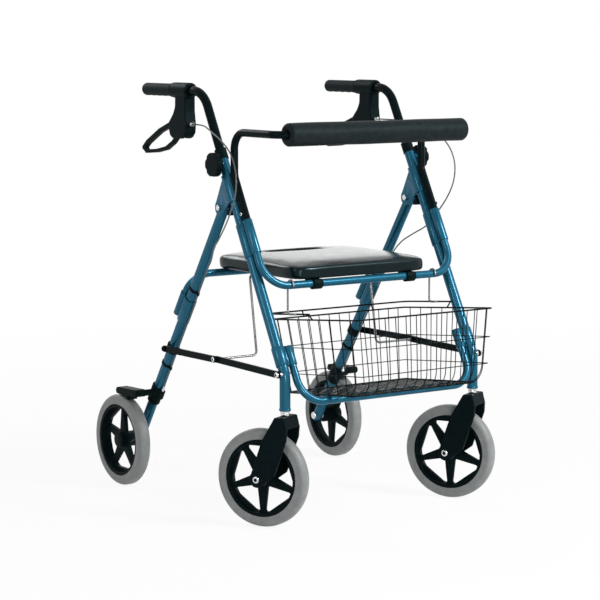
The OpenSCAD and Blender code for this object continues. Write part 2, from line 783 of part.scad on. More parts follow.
// Brake bracket: a sleeve on the rear leg with a cable stop and the shoe's pivot pin
module brake_brackets() {
    wall = 3.5;
    stop_half = 7;
    stop_len = 24;
    stop_wall = 1.5;
    stop_y = cable_ahead + cable_r + stop_wall;
    root_in = 1;
    root_x = leg_x + rear_leg_t / 2 + root_in;
    root_wall = 3;
    past_shoe = 0.5;
    pin_end = rear_wheel_x + shoe_w / 2 + past_shoe;
    color(plastic_black) for (side = [right, left]) {
        rear_axes(side * leg_x) difference() {
            union() {
                translate([0, 0, brake_down - bracket_up]) linear_extrude(bracket_len) leg_oval(wall);
                translate([-stop_half, 0, brake_down - bracket_up]) cube([2 * stop_half, stop_y, stop_len]);
            }
            translate([0, 0, brake_down - bracket_up - eps])
                linear_extrude(bracket_len + 2 * eps) leg_oval(fit);
        }
        cross_rod(side, root_x, pin_end, shoe_pivot, shoe_pin_r);
        cross_rod(side, root_x, rear_wheel_x - shoe_w / 2 - gap, shoe_pivot, shoe_pin_r + root_wall);
    }
}

// Collars that carry the rear braces, and clips that hold the brake cable
module rear_leg_clips() {
    collar_h = 16;
    clip_h = 6;
    clip_wall = 1.4;
    pin_in = leg_x + rear_leg_t / 2 + sleeve_wall / 2;
    color(plastic_black) for (side = [right, left]) {
        rear_axes(side * leg_x) difference() {
            translate([0, 0, brace_rear_down - collar_h / 2]) linear_extrude(collar_h) leg_oval(sleeve_wall);
            translate([0, 0, brace_rear_down - collar_h / 2 - eps])
                linear_extrude(collar_h + 2 * eps) leg_oval(fit);
        }
        cross_rod(side, pin_in, rear_bar_x - gap, brace_rear, pin_head_r);
        cross_rod(side, pin_in, rear_bar_x + brace_bar_t + gap, brace_rear, pin_r);
        cross_rod(side, rear_bar_x + brace_bar_t + gap, rear_bar_x + brace_bar_t + gap + pin_head_h,
            brace_rear, pin_head_r);
        for (d = clip_spots) rear_axes(side * leg_x) difference() {
            translate([0, 0, d]) linear_extrude(clip_h) {
                leg_oval(clip_wall);
                translate([0, cable_ahead]) circle(r = cable_r + clip_wall);
                translate([-cable_r, 0]) square([2 * cable_r, cable_ahead]);
            }
            translate([0, 0, d - eps]) linear_extrude(clip_h + 2 * eps) {
                leg_oval(fit);
                translate([0, cable_ahead]) circle(r = cable_r + fit);
            }
        }
    }
}

// Rear axle bolts with a spacer between leg and hub; the hub's cap covers the outer end
module rear_axles() {
    leg_face = rear_leg_t / 2 + fit;
    axle = [axle_y, wheel_r];
    color(chrome) for (side = [right, left]) {
        cross_rod(side, leg_x - leg_face - axle_head_h, leg_x - leg_face, axle, axle_r + axle_head_lip);
        cross_rod(side, leg_x - leg_face, rear_hub_out - hub_cap_t - gap, axle, axle_r);
        cross_rod(side, leg_x + leg_face, rear_hub_in - gap, axle, axle_r + axle_head_lip);
    }
}

// Seat outline: a square with round corners, drawn in a little between them, some way inside the edge
function squarish(a, half, power) =
    let (r = pow(pow(abs(cos(a)) / half[0], power) + pow(abs(sin(a)) / half[1], power), -1 / power))
    [r * cos(a), r * sin(a)];
draw_in = 0.012;
seat_square = 13;
slot_square = 4;
function seat_edge(a, inside = 0) =
    let (half = [seat_w / 2 - inside, seat_d / 2 - inside], p = squarish(a, half, seat_square),
         u = p[0] / half[0], v = p[1] / half[1])
    [p[0] * (1 - draw_in * (1 - v * v)), seat_mid_y + p[1] * (1 - draw_in * (1 - u * u))];
// The hand slot's edge, on the line from the slot's middle to the cushion's edge
function slot_edge(a) =
    let (way = seat_edge(a, 0) - [0, slot_y],
         reach = pow(abs(way[0]) * 2 / slot_l, slot_square) + pow(abs(way[1]) * 2 / slot_w, slot_square))
    [0, slot_y] + way * pow(reach, -1 / slot_square);

// Board inside the cushion's skirt
cushion_steps = 72;
cushion_skirt = 8;
board_clear = 1;
function step_angle(i) = (i + 0.5) * 360 / cushion_steps;
module seat_board() {
    slot_margin = 2;
    slot_r = slot_w / 2 + slot_margin;
    color(plastic_black) translate([0, 0, seat_bottom_z]) linear_extrude(board_t) difference() {
        polygon([for (i = [0 : cushion_steps - 1]) seat_edge(step_angle(i), cushion_skirt + board_clear)]);
        translate([0, slot_y]) bar_2d([-slot_l / 2 + slot_r, 0], [slot_l / 2 - slot_r, 0], slot_r);
    }
}

// Cushion rows, from the slot's lower edge over the crown and down to the skirt round the board:
// [way from slot to edge, distance inside the edge, share of the height, rise]
skirt_over_board = 0.2;
skirt_z = skirt_over_board - board_t;
cushion_rows = [[0, 0, 0, 0], [0, 0, 1, -4], [0.02, 10, 1, -0.5], [0.35, 10, 1, 0], [0.7, 10, 1, 0],
    [0.88, 10, 1, 0], [1, 10, 1, 0], [1, 4, 1, -1.4], [1, 1, 1, -4.5], [1, 0, 0.5, -1], [1, 1, 0, 2],
    [1, 3, 0, skirt_z], [1, cushion_skirt, 0, skirt_z], [1, cushion_skirt, 0, 0]];
function cushion_top(p) =
    let (u = p[0] / (seat_w / 2), v = (p[1] - seat_mid_y) / (seat_d / 2))
    cushion_edge + cushion_crown * (1 - pow(u, 4)) * (1 - pow(v, 4));
function cushion_point(a, row) =
    let (p = slot_edge(a) * (1 - row[0]) + seat_edge(a, row[1]) * row[0])
    [p[0], p[1], cushion_z + row[2] * cushion_top(p) + row[3]];
module seat_cushion() {
    rows = len(cushion_rows);
    points = [for (i = [0 : cushion_steps - 1], row = cushion_rows) cushion_point(step_angle(i), row)];
    faces = [for (i = [0 : cushion_steps - 1], j = [0 : rows - 1])
        let (next = (i + 1) % cushion_steps, a = i * rows + j, b = i * rows + (j + 1) % rows,
             c = next * rows + (j + 1) % rows, d = next * rows + j)
        each [[a, b, c], [a, c, d]]];
    color(plastic_black) polyhedron(points, faces);
}

// Clips under the board: two turn on the crossbar, two carry the lift wires
module seat_clips() {
    clip_w = 22;
    clip_wall = 4;
    clip_r = bar_r + clip_wall;
    clip_back = 12;
    eye_wall = 3;
    eye_r = wire_r + eye_wall;
    eye_gap = 1;
    eye_in = wire_pin_x + eye_gap;
    eye_w = wire_x - wire_bend_r - wire_pin_x - 2 * eye_gap;
    top = seat_bottom_z - run;
    color(plastic_black) for (side = [right, left]) {
        difference() {
            union() {
                cross_rod(side, seat_clip_x - clip_w / 2, seat_clip_x + clip_w / 2, seat_bar, clip_r);
                translate([side * seat_clip_x - clip_w / 2, seat_bar[0], seat_bar[1] - clip_wall])
                    cube([clip_w, clip_r + clip_back, top - seat_bar[1] + clip_wall]);
            }
            cross_rod(side, seat_clip_x - clip_w, seat_clip_x + clip_w, seat_bar, bar_r + fit);
            translate([side * seat_clip_x - clip_w, seat_bar[0] - 2 * clip_r, top])
                cube([2 * clip_w, 4 * clip_r, 2 * clip_r]);
        }
        difference() {
            union() {
                cross_rod(side, eye_in, eye_in + eye_w, wire_top, eye_r);
                translate([side * (eye_in + eye_w / 2) - eye_w / 2, wire_top[0] - eye_r, wire_top[1]])
                    cube([eye_w, 2 * eye_r, top - wire_top[1]]);
            }
            cross_rod(side, eye_in - eps, eye_in + eye_w + eps, wire_top, wire_r + run);
        }
    }
}

// Brace bars: flat bars outboard of the legs, each with half of the middle rivet
module brace_front_bar(side) {
    color(plastic_black) {
        side_plane(side > 0 ? front_bar_x : -front_bar_x - brace_bar_t)
            linear_extrude(brace_bar_t) difference() {
                bar_2d(brace_front, brace_knee, brace_bar_h / 2);
                translate(brace_front) circle(r = pin_r + run);
            }
        cross_rod(side, front_bar_x - knee_head_h, front_bar_x, brace_knee, pin_head_r);
    }
}
module brace_rear_bar(side) {
    out = rear_bar_x + brace_bar_t;
    color(plastic_black) {
        side_plane(side > 0 ? rear_bar_x : -out) linear_extrude(brace_bar_t) difference() {
            bar_2d(brace_rear, brace_knee, brace_bar_h / 2);
            translate(brace_rear) circle(r = pin_r + run);
        }
        cross_rod(side, out, out + knee_head_h, brace_knee, pin_head_r);
    }
}

// Lift wire: turns in the seat's eye and reaches out to the brace's middle joint
module lift_wire(side) {
    down = brace_knee - wire_top;
    points = [[wire_pin_x, 0], [wire_x, 0], [wire_x, wire_len], [wire_end_x, wire_len]];
    color(chrome) translate([0, wire_top[0], wire_top[1]]) rotate([atan2(down[1], down[0]), 0, 0])
        rod([for (p = points) [side * p[0], p[1]]], wire_bend_r, wire_r);
}

// Handle tube: slides in the leg, bends back to a level grip
module handle_tube(side) {
    points = [leg_at(leg_len - stem_in), handle_corner, [grip_end_y - grip_end_t, handle_z]];
    color(plastic_black) side_plane(side * leg_x) tube(points, handle_r, stem_r, stem_wall);
}

// Grip: a rubber sleeve with a closed round end and finger grooves below
module grip(side) {
    r = grip_d / 2;
    grooves = 4;
    groove_r = 11;
    groove_deep = 2.6;
    groove_step = grip_len / (grooves + 1);
    cap_r = grip_cap_r;
    flange_h = 2;
    color(plastic_black) translate([side * leg_x, 0, handle_z]) difference() {
        union() {
            translate([0, grip_front_y, 0]) rotate([-90, 0, 0]) cylinder(r = r, h = grip_len - cap_r);
            translate([0, grip_end_y - cap_r, 0]) rotate([-90, 0, 0]) rotate_extrude() {
                square([r - cap_r, cap_r]);
                intersection() {
                    translate([r - cap_r, 0]) circle(r = cap_r);
                    square([r, cap_r]);
                }
            }
            translate([0, grip_front_y, 0]) rotate([-90, 0, 0]) cylinder(r = r + flange_h, h = grip_flange_t);
        }
        translate([0, grip_front_y - eps, 0]) rotate([-90, 0, 0])
            cylinder(r = stem_r + fit, h = grip_len - grip_end_t + eps + fit);
        for (i = [1 : grooves])
            translate([-grip_d, grip_front_y + (i + 0.1) * groove_step, -r - groove_r + groove_deep])
                rotate([0, 90, 0]) cylinder(r = groove_r, h = 2 * grip_d);
    }
}

// Brake housing: a clamp on the handle tube with a hollow body below it for the lever
module brake_housing(side) {
    slot_side = 0.8;
    slot_half = lever_t / 2 + slot_side;
    slot_down = 44;
    slot_deep = 66;
    slot_len = 90;
    wall = 8;
    adjuster_r = 4;
    adjuster_in = 8;
    front = -housing_front;
    body = [[front, 0], [front, -44], [front - 4, -70], [front - 2, -88], [front + 6, -97],
        [front + 15, -101], [24, -101], [34, -95], [38, -84], [39, -68], [22, -50], [14, -36], [12, 0]];
    color(plastic_black) translate([side * leg_x, 0, 0]) difference() {
        union() {
            translate([0, brake_front_y, handle_z]) rotate([-90, 0, 0])
                cylinder(r = brake_clamp_r, h = brake_clamp_len);
            side_plane(-brake_w / 2) linear_extrude(brake_w) translate([brake_y, handle_z]) polygon(body);
            translate([0, adjuster_y, adjuster_z]) rotate([-90, 0, 0])
                cylinder(r = adjuster_r, h = adjuster_len + adjuster_in);
        }
        translate([0, brake_front_y - eps, handle_z]) rotate([-90, 0, 0])
            cylinder(r = stem_r + fit, h = brake_clamp_len + 2 * eps);
        difference() {
            translate([-slot_half, brake_y + front + wall, handle_z - slot_down - slot_deep])
                cube([2 * slot_half, slot_len, slot_deep]);
            cross_rod(1, -slot_half - eps, slot_half + eps, lever_pivot, lever_pin_r);
        }
    }
}

// Brake lever: a loop below the grip, turning on a pin in the housing
module brake_lever(side) {
    plate_r = 11;
    neck_r = 7;
    color(plastic_black) side_plane(side * leg_x - lever_t / 2) translate(lever_pivot)
        linear_extrude(lever_t) difference() {
            union() {
                circle(r = plate_r);
                bar_2d([0, 0], lever_out[0], neck_r);
                chain_2d(lever_out, lever_out_r);
                chain_2d(lever_back, lever_back_r);
            }
            circle(r = lever_pin_r + run);
        }
}

// Height knob: a disc with finger hollows on a screw that presses on the handle tube
module height_knob(side) {
    hollows = 6;
    hollow_r = 6;
    hollow_deep = 2.5;
    hollow_at = knob_d / 2 + hollow_r - hollow_deep;
    at = leg_at(knob_up);
    color(plastic_black) {
        translate([side * knob_x, at[0], at[1]]) rotate([0, side * 90, 0])
            linear_extrude(knob_t) difference() {
                circle(r = knob_d / 2);
                for (i = [0 : hollows - 1])
                    rotate(i * 360 / hollows) translate([hollow_at, 0]) circle(r = hollow_r);
            }
        cross_rod(side, leg_x + stem_r + gap, knob_x, at, knob_screw_r);
    }
}

// Backrest tube: up from the sleeves, forward, and across inside the pad
function backrest_side() = [backrest_low, backrest_bend, [backrest_up_y, backrest_z],
    [backrest_pad_y + backrest_in_r - bend_lap, backrest_z]];
function backrest_across() =
    [[-leg_x, backrest_pad_y + backrest_in_r], [-leg_x, backrest_pad_y], [leg_x, backrest_pad_y],
        [leg_x, backrest_pad_y + backrest_in_r]];
module backrest_tube() {
    button_up = 14;
    button = leg_at(upper_clamp_up + upper_clamp_len + button_up, seat_bar_ahead);
    button_h = 2.5;
    button_r = 3.5;
    color(plastic_black) {
        for (side = [right, left]) {
            side_plane(side * leg_x) tube(backrest_side(), backrest_up_r, bar_r, bar_wall);
            cross_rod(side, leg_x + bar_r - bar_wall / 2, leg_x + bar_r + button_h, button, button_r);
        }
        translate([0, 0, backrest_z]) tube(backrest_across(), backrest_in_r, bar_r, bar_wall);
    }
}

// Backrest pad: a foam roll with rounded ends on the tube
pad_sides = 20;
pad_rings = 17;
function pad_ring_x(i) = -pad_half * cos(i * 180 / (pad_rings - 1));
pad_taper = 0.6;
pad_square = 22;
function pad_ring_r(x) =
    pad_r * sqrt(1 - pow(abs(x) / (pad_half + pad_taper), pad_square)) - pad_taper * pow(x / pad_half, 2);
module backrest_pad() {
    points = [for (i = [0 : pad_rings - 1], j = [0 : pad_sides - 1])
        let (x = pad_ring_x(i), r = pad_ring_r(x), a = j * 360 / pad_sides)
        [x, backrest_pad_y + r * cos(a), backrest_z + r * sin(a)]];
    last = (pad_rings - 1) * pad_sides;
    faces = concat(
        [for (i = [0 : pad_rings - 2], j = [0 : pad_sides - 1])
            let (a = i * pad_sides + j, b = i * pad_sides + (j + 1) % pad_sides)
            each [[a, b, b + pad_sides], [a, b + pad_sides, a + pad_sides]]],
        [for (j = [1 : pad_sides - 2]) [0, j + 1, j]],
        [for (j = [1 : pad_sides - 2]) [last, last + j, last + j + 1]]);
    color(plastic_black) difference() {
        polyhedron(points, faces);
        translate([0, 0, backrest_z]) rod(backrest_across(), backrest_in_r, bar_r + fit);
    }
}

// Basket rim, the rail over its rear half, and two hooks from the rail to the seat crossbar
module basket_rim() {
    half_w = basket_w / 2;
    half_l = basket_l / 2;
    rear_y = seat_bar[0] + hook_bend_r;
    rail_z = basket_z - (rear_y - basket_y) * tan(basket_tilt) + rail_up / cos(basket_tilt);
    hook_r = hook_wire / 2;
    hook_tail = 4;
    top_z = seat_bar[1] + hook_bend_r;
    hook_points = [[seat_bar[0] - hook_bend_r, seat_bar[1]], [seat_bar[0] - hook_bend_r, top_z],
        [rear_y, top_z], [rear_y, rail_z - hook_tail]];
    rim_bend_r = 20;
    rim_points = [[0, -half_l], [half_w, -half_l], [half_w, half_l], [-half_w, half_l], [-half_w, -half_l],
        [0, -half_l]];
    rail_y = half_l + rail_behind;
    rail_front = rail_y - rail_arm;
    rail_points = [[hook_x, rail_front], [hook_x, rail_y], [-hook_x, rail_y], [-hook_x, rail_front]];
    strut_r = 1.5;
    strut_in = 4;
    strut_x = 90;
    color(plastic_black) {
        basket_axes() {
            rod(rim_points, rim_bend_r, rim_wire / 2);
            translate([0, 0, rail_up]) rod(rail_points, rim_bend_r, rail_wire / 2);
            for (side = [right, left]) {
                translate([0, rail_front + strut_in, 0]) rotate([90, 0, 0])
                    rod([[side * half_w, 0], [side * hook_x, rail_up]], 0, strut_r);
                side_plane(side * strut_x) rod([[half_l, 0], [rail_y, rail_up]], 0, strut_r);
            }
        }
        for (side = [right, left]) side_plane(side * hook_x) rod(hook_points, hook_bend_r, hook_r);
    }
}

// A net of flat wires. Each row is [distance down, low end, high end]: a run goes across at every row
// from first_run on, and runs go down from the first row to the knee row and on to the last.
run_lap = 0.4;
function row_point(row, u) =
    [(row[1] + row[2]) / 2 + u * (row[2] - row[1] - wall_wire) / 2, -row[0]];
module net_run(from, to, lap) {
    along = unit(to - from);
    half = [wall_wire / 2 / abs(along[1]), 0];
    start = from - along * lap;
    stop = to + along * lap;
    polygon([start - half, start + half, stop + half, stop - half]);
}
module net_2d(rows, knee, gaps, first_run) {
    last = len(rows) - 1;
    for (i = [first_run : last]) translate([rows[i][1], -rows[i][0] - wall_wire / 2])
        square([rows[i][2] - rows[i][1], wall_wire]);
    for (i = [0 : gaps]) {
        u = 2 * i / gaps - 1;
        net_run(row_point(rows[0], u), row_point(rows[knee], u), knee < last ? run_lap : 0);
        if (knee < last) net_run(row_point(rows[knee], u), row_point(rows[last], u), run_lap);
    }
}
// Heights of the rings from the top one down to the knee, in a wall that leans
function wire_rise(lean) = wall_wire / 2 * (cos(lean) + sin(lean));
function ring_z(i, lean) =
    let (top = wall_top - wire_rise(lean)) top + (knee_z - top) * i / gaps_down;
module end_net(end, rows, knee, first_run, y, z, lean) {
    translate([0, end * y, z]) rotate([90 - end * lean, 0, 0]) translate([0, 0, -wall_wire / 2])
        linear_extrude(wall_wire) net_2d(rows, knee, gaps_across, first_run);
}
module basket_ends() {
    top_z = ring_z(0, end_lean);
    function end_row(z) = [(top_z - z) / cos(end_lean), -half_width(z), half_width(z)];
    rings = [for (i = [0 : gaps_down]) end_row(ring_z(i, end_lean))];
    slope_down = knee_z - low_ring_z;
    slope_rows = [[0, -half_width(knee_z), half_width(knee_z)],
        [norm([slope_back, slope_down]), -half_width(low_ring_z), half_width(low_ring_z)]];
    rear_rows = concat(rings, [end_row(low_ring_z)]);
    color(plastic_black) basket_axes() {
        end_net(1, rear_rows, len(rear_rows) - 1, 0, half_length(top_z), top_z, end_lean);
        end_net(-1, rings, len(rings) - 1, 0, half_length(top_z), top_z, end_lean);
        end_net(-1, slope_rows, 1, 1, half_length(knee_z), knee_z, atan2(slope_back, slope_down));
    }
}
module basket_sides() {
    top_z = ring_z(0, side_lean);
    function side_row(z, front) =
        [(top_z - z) / cos(side_lean), front + corner_gap, half_length(z) - corner_gap];
    rows = concat([for (i = [0 : gaps_down]) let (z = ring_z(i, side_lean)) side_row(z, -half_length(z))],
        [side_row(low_ring_z, front_low)]);
    color(plastic_black) basket_axes() for (side = [right, left])
        translate([side * half_width(top_z), 0, top_z]) rotate([0, side * side_lean, 0])
            rotate([90, 0, 90]) translate([0, 0, -wall_wire / 2]) linear_extrude(wall_wire)
                net_2d(rows, gaps_down, gaps_along, 0);
}

// Moulded tray in the bottom of the basket: a lattice of crossing ribs inside a lip
module tray_holes() {
    rib = 5;
    pitch = 30;
    margin = 6;
    hole = pitch / sqrt(2) - rib;
    reach = hole / sqrt(2) + margin;
    columns = floor((tray_w / 2 - reach) / (pitch / 2));
    rows = floor((tray_l / 2 - reach) / (pitch / 2));
    for (i = [-columns : columns], j = [-rows : rows])
        if ((i + j) % 2 == 0)
            translate([i * pitch / 2, j * pitch / 2]) rotate(45) square(hole, center = true);
}
module basket_tray() {
    lip_t = 3;
    color(plastic_black) basket_axes() translate([0, (tray_front + tray_rear) / 2, tray_z]) difference() {
        translate([-tray_w / 2, -tray_l / 2, 0]) cube([tray_w, tray_l, tray_t + tray_lip]);
        translate([-tray_w / 2 + lip_t, -tray_l / 2 + lip_t, tray_t])
            cube([tray_w - 2 * lip_t, tray_l - 2 * lip_t, tray_lip + eps]);
        translate([0, 0, -eps]) linear_extrude(tray_t + 2 * eps) tray_holes();
    }
}

// Caster fork: two blades and a crown, seen from the side as one leaning outline
module fork_2d() {
    axle = [caster_trail, wheel_r];
    eye_r = 17;
    polygon([[-12, fork_top_z], [9, fork_top_z], [38, fork_top_z - 49], axle + [13, 11], axle + [9, -13],
        axle + [-9, -13], axle + [-39, 9], [-17, fork_top_z - 44], [-18, fork_top_z - 23]]);
    translate(axle) circle(r = eye_r);
}
module caster_fork(side) {
    axle = [caster_trail, wheel_r];
    color(plastic_black) caster_axes(side) difference() {
        union() {
            for (face = [-fork_out, fork_gap / 2])
                side_plane(face) linear_extrude(fork_blade) fork_2d();
            side_plane(-fork_out) linear_extrude(2 * fork_out) intersection() {
                fork_2d();
                translate([-wheel_r, fork_crown_z]) square(wheel_d);
            }
        }
        translate([0, 0, fork_crown_z - eps]) cylinder(r = stem_d / 2 + fit, h = stem_top_z - fork_crown_z);
        cross_rod(1, -fork_out - eps, fork_out + eps, axle, caster_axle_r + fit);
    }
}

// Caster stem with its shoulder, and the caster's axle bolt
module caster_pins(side) {
    axle = [caster_trail, wheel_r];
    face = fork_out + fit;
    shoulder_z = fork_top_z + fit;
    shoulder_h = leg_foot_z - bearing_flange - gap - shoulder_z;
    color(chrome) caster_axes(side) {
        translate([0, 0, fork_crown_z + gap])
            cylinder(r = stem_d / 2, h = stem_top_z - bearing_step - fork_crown_z);
        translate([0, 0, shoulder_z]) cylinder(r = stem_d / 2 + caster_head_lip, h = shoulder_h);
        cross_rod(1, -face, face, axle, caster_axle_r);
        for (end = [right, left])
            cross_rod(end, face, face + caster_head_h, axle, caster_axle_r + caster_head_lip);
    }
}

// Wheel parts, drawn about Z
module rounded_triangle(a, b, c, r) {
    polygon([a, b, c]);
    bar_2d(a, b, r);
    bar_2d(b, c, r);
    bar_2d(c, a, r);
}
function polar(r, a) = [r * cos(a), r * sin(a)];
module wheel_windows() {
    spokes = 5;
    corner_r = 5;
    spread = 26.5;
    off_hub = 5;
    off_rim = 1;
    inner = hub_r + corner_r + off_hub;
    outer = rim_in - corner_r - off_rim;
    for (i = [0 : spokes - 1]) rotate((i + 0.5) * 360 / spokes)
        rounded_triangle(polar(inner, 0), polar(outer, spread), polar(outer, -spread), corner_r);
}
module wheel_hub_body(low, high, spoke_z, bore_r, cap) {
    difference() {
        union() {
            translate([0, 0, -rim_w / 2]) linear_extrude(rim_w) difference() {
                circle(r = tyre_in - fit);
                circle(r = rim_in);
            }
            translate([0, 0, spoke_z - spoke_t / 2]) linear_extrude(spoke_t) difference() {
                circle(r = rim_in + eps);
                wheel_windows();
            }
            translate([0, 0, low]) cylinder(r = hub_r, h = high - low);
        }
        translate([0, 0, low - eps]) cylinder(r = bore_r, h = high - low + eps + (cap > 0 ? -cap : eps));
    }
}
module tyre_body() {
    rotate_extrude() {
        translate([tyre_in, -tyre_w / 2]) square([tyre_h - tyre_round, tyre_w]);
        translate([tyre_in, -tyre_w / 2 + tyre_round]) square([tyre_h, tyre_w - 2 * tyre_round]);
        for (z = [-1, 1])
            translate([wheel_r - tyre_round, z * (tyre_w / 2 - tyre_round)]) circle(r = tyre_round);
    }
}
// Stands a wheel up with its axis along X and its +Z side facing out
module stand_wheel(side) {
    rotate([0, side * 90, 0]) children();
}
// A front wheel stands with a spoke pointing down
module front_wheel_axes(side) {
    caster_axes(side) translate([0, caster_trail, wheel_r]) stand_wheel(side)
        rotate(side == right ? 180 : 0) children();
}
module rear_wheel_axes(side) {
    translate([side * rear_wheel_x, axle_y, wheel_r]) stand_wheel(side) children();
}
module front_hub(side) {
    color(plastic_black) front_wheel_axes(side)
        wheel_hub_body(-front_hub_half, front_hub_half, 0, caster_axle_r + run, 0);
}
module front_tyre(side) {
    color(tyre_grey) front_wheel_axes(side) tyre_body();
}
module rear_hub(side) {
    spoke_in = 4;
    low = rear_hub_in - rear_wheel_x;
    high = rear_hub_out - rear_wheel_x;
    color(plastic_black) rear_wheel_axes(side)
        wheel_hub_body(low, high, -spoke_in, axle_r + run, hub_cap_t);
}
module rear_tyre(side) {
    color(tyre_grey) rear_wheel_axes(side) tyre_body();
}

// Brake shoe: an arm over the rear tyre with a hollow pad
module brake_shoe(side) {
    arm_r = 8;
    bite = 1;
    axle = [axle_y, wheel_r];
    tip = [shoe_pivot[0] + shoe_reach, wheel_d + shoe_gap + arm_r - bite];
    pad = wheel_r + shoe_gap;
    color(plastic_black)
        side_plane(side * rear_wheel_x - shoe_w / 2) linear_extrude(shoe_w) difference() {
            union() {
                bar_2d(shoe_pivot, tip, arm_r);
                polygon([tip, tip - [44, 2], tip - [40, 18], tip - [0, 12]]);
            }
            translate(axle) circle(r = pad);
            translate(shoe_pivot) circle(r = shoe_pin_r + run);
        }
}

// A cable of eight sides swept along its route
cable_sides = 8;
function smooth(p, i, t) =
    let (last = len(p) - 1, a = p[max(i - 1, 0)], b = p[i], c = p[min(i + 1, last)], d = p[min(i + 2, last)])
    0.5 * (2 * b + (c - a) * t + (2 * a - 5 * b + 4 * c - d) * t * t + (3 * b - a - 3 * c + d) * t * t * t);
function smooth_route(p, steps) =
    concat([for (i = [0 : len(p) - 2], k = [0 : steps - 1]) smooth(p, i, k / steps)], [p[len(p) - 1]]);
module cable(route) {
    last = len(route) - 1;
    points = [for (i = [0 : last])
        let (along = unit(route[min(i + 1, last)] - route[max(i - 1, 0)]),
             across = unit(cross(along, [1, 0.2, 0.3])), other = cross(along, across))
        for (j = [0 : cable_sides - 1])
            route[i] + cable_r * (across * cos(j * 360 / cable_sides) + other * sin(j * 360 / cable_sides))];
    end = last * cable_sides;
    faces = concat(
        [for (i = [0 : last - 1], j = [0 : cable_sides - 1])
            let (a = i * cable_sides + j, b = i * cable_sides + (j + 1) % cable_sides)
            each [[a, b + cable_sides, b], [a, a + cable_sides, b + cable_sides]]],
        [for (j = [1 : cable_sides - 2]) [0, j, j + 1]],
        [for (j = [1 : cable_sides - 2]) [end, end + j + 1, end + j]]);
    polyhedron(points, faces);
}
function on_side(side, p) = [side * (leg_x + p[0]), p[1], p[2]];
module cable_upper(side) {
    color(chrome) cable([for (p = smooth_route(cable_route, 2)) on_side(side, p)]);
}
module cable_lower(side) {
    steps = 6;
    color(chrome) cable([for (i = [0 : steps])
        on_side(side, on_rear_leg(cable_high + gap + (cable_low - cable_high - gap) * i / steps))]);
}

place() front_leg(right);  // front_leg_right
place() front_leg(left);  // front_leg_left
place() seat_crossbar();
place() foot_crossbar();
place() tube_clamps();
place() hinge_brackets();
place() frame_bushes();
place() frame_bolts();
place() caster_bearings();
place() rear_leg(right);  // rear_leg_right
place() rear_leg(left);  // rear_leg_left
place() rear_crossbar();
place() rear_clamps();
place() brake_brackets();
place() rear_leg_clips();
place() rear_axles();
place() seat_board();
place() seat_cushion();
place() seat_clips();
place() brace_front_bar(right);  // brace_front_right
place() brace_front_bar(left);  // brace_front_left
place() brace_rear_bar(right);  // brace_rear_right
place() brace_rear_bar(left);  // brace_rear_left
place() lift_wire(right);  // lift_wire_right
place() lift_wire(left);  // lift_wire_left
place() handle_tube(right);  // handle_tube_right
place() handle_tube(left);  // handle_tube_left
place() grip(right);  // grip_right
place() grip(left);  // grip_left
place() brake_housing(right);  // brake_housing_right
place() brake_housing(left);  // brake_housing_left
place() brake_lever(right);  // brake_lever_right
place() brake_lever(left);  // brake_lever_left
place() height_knob(right);  // height_knob_right
place() height_knob(left);  // height_knob_left
place() backrest_tube();
place() backrest_pad();
place() basket_rim();
place() basket_ends();
place() basket_sides();
place() basket_tray();
place() caster_fork(right);  // caster_fork_right
place() caster_fork(left);  // caster_fork_left
place() caster_pins(right);  // caster_pins_right
place() caster_pins(left);  // caster_pins_left
place() front_hub(right);  // front_hub_right
place() front_hub(left);  // front_hub_left
place() front_tyre(right);  // front_tyre_right
place() front_tyre(left);  // front_tyre_left
place() rear_hub(right);  // rear_hub_right
place() rear_hub(left);  // rear_hub_left
place() rear_tyre(right);  // rear_tyre_right
place() rear_tyre(left);  // rear_tyre_left
place() brake_shoe(right);  // brake_shoe_right
place() brake_shoe(left);  // brake_shoe_left
place() cable_upper(right);  // cable_upper_right
place() cable_upper(left);  // cable_upper_left
place() cable_lower(right);  // cable_lower_right
place() cable_lower(left);  // cable_lower_left
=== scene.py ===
import json
import math

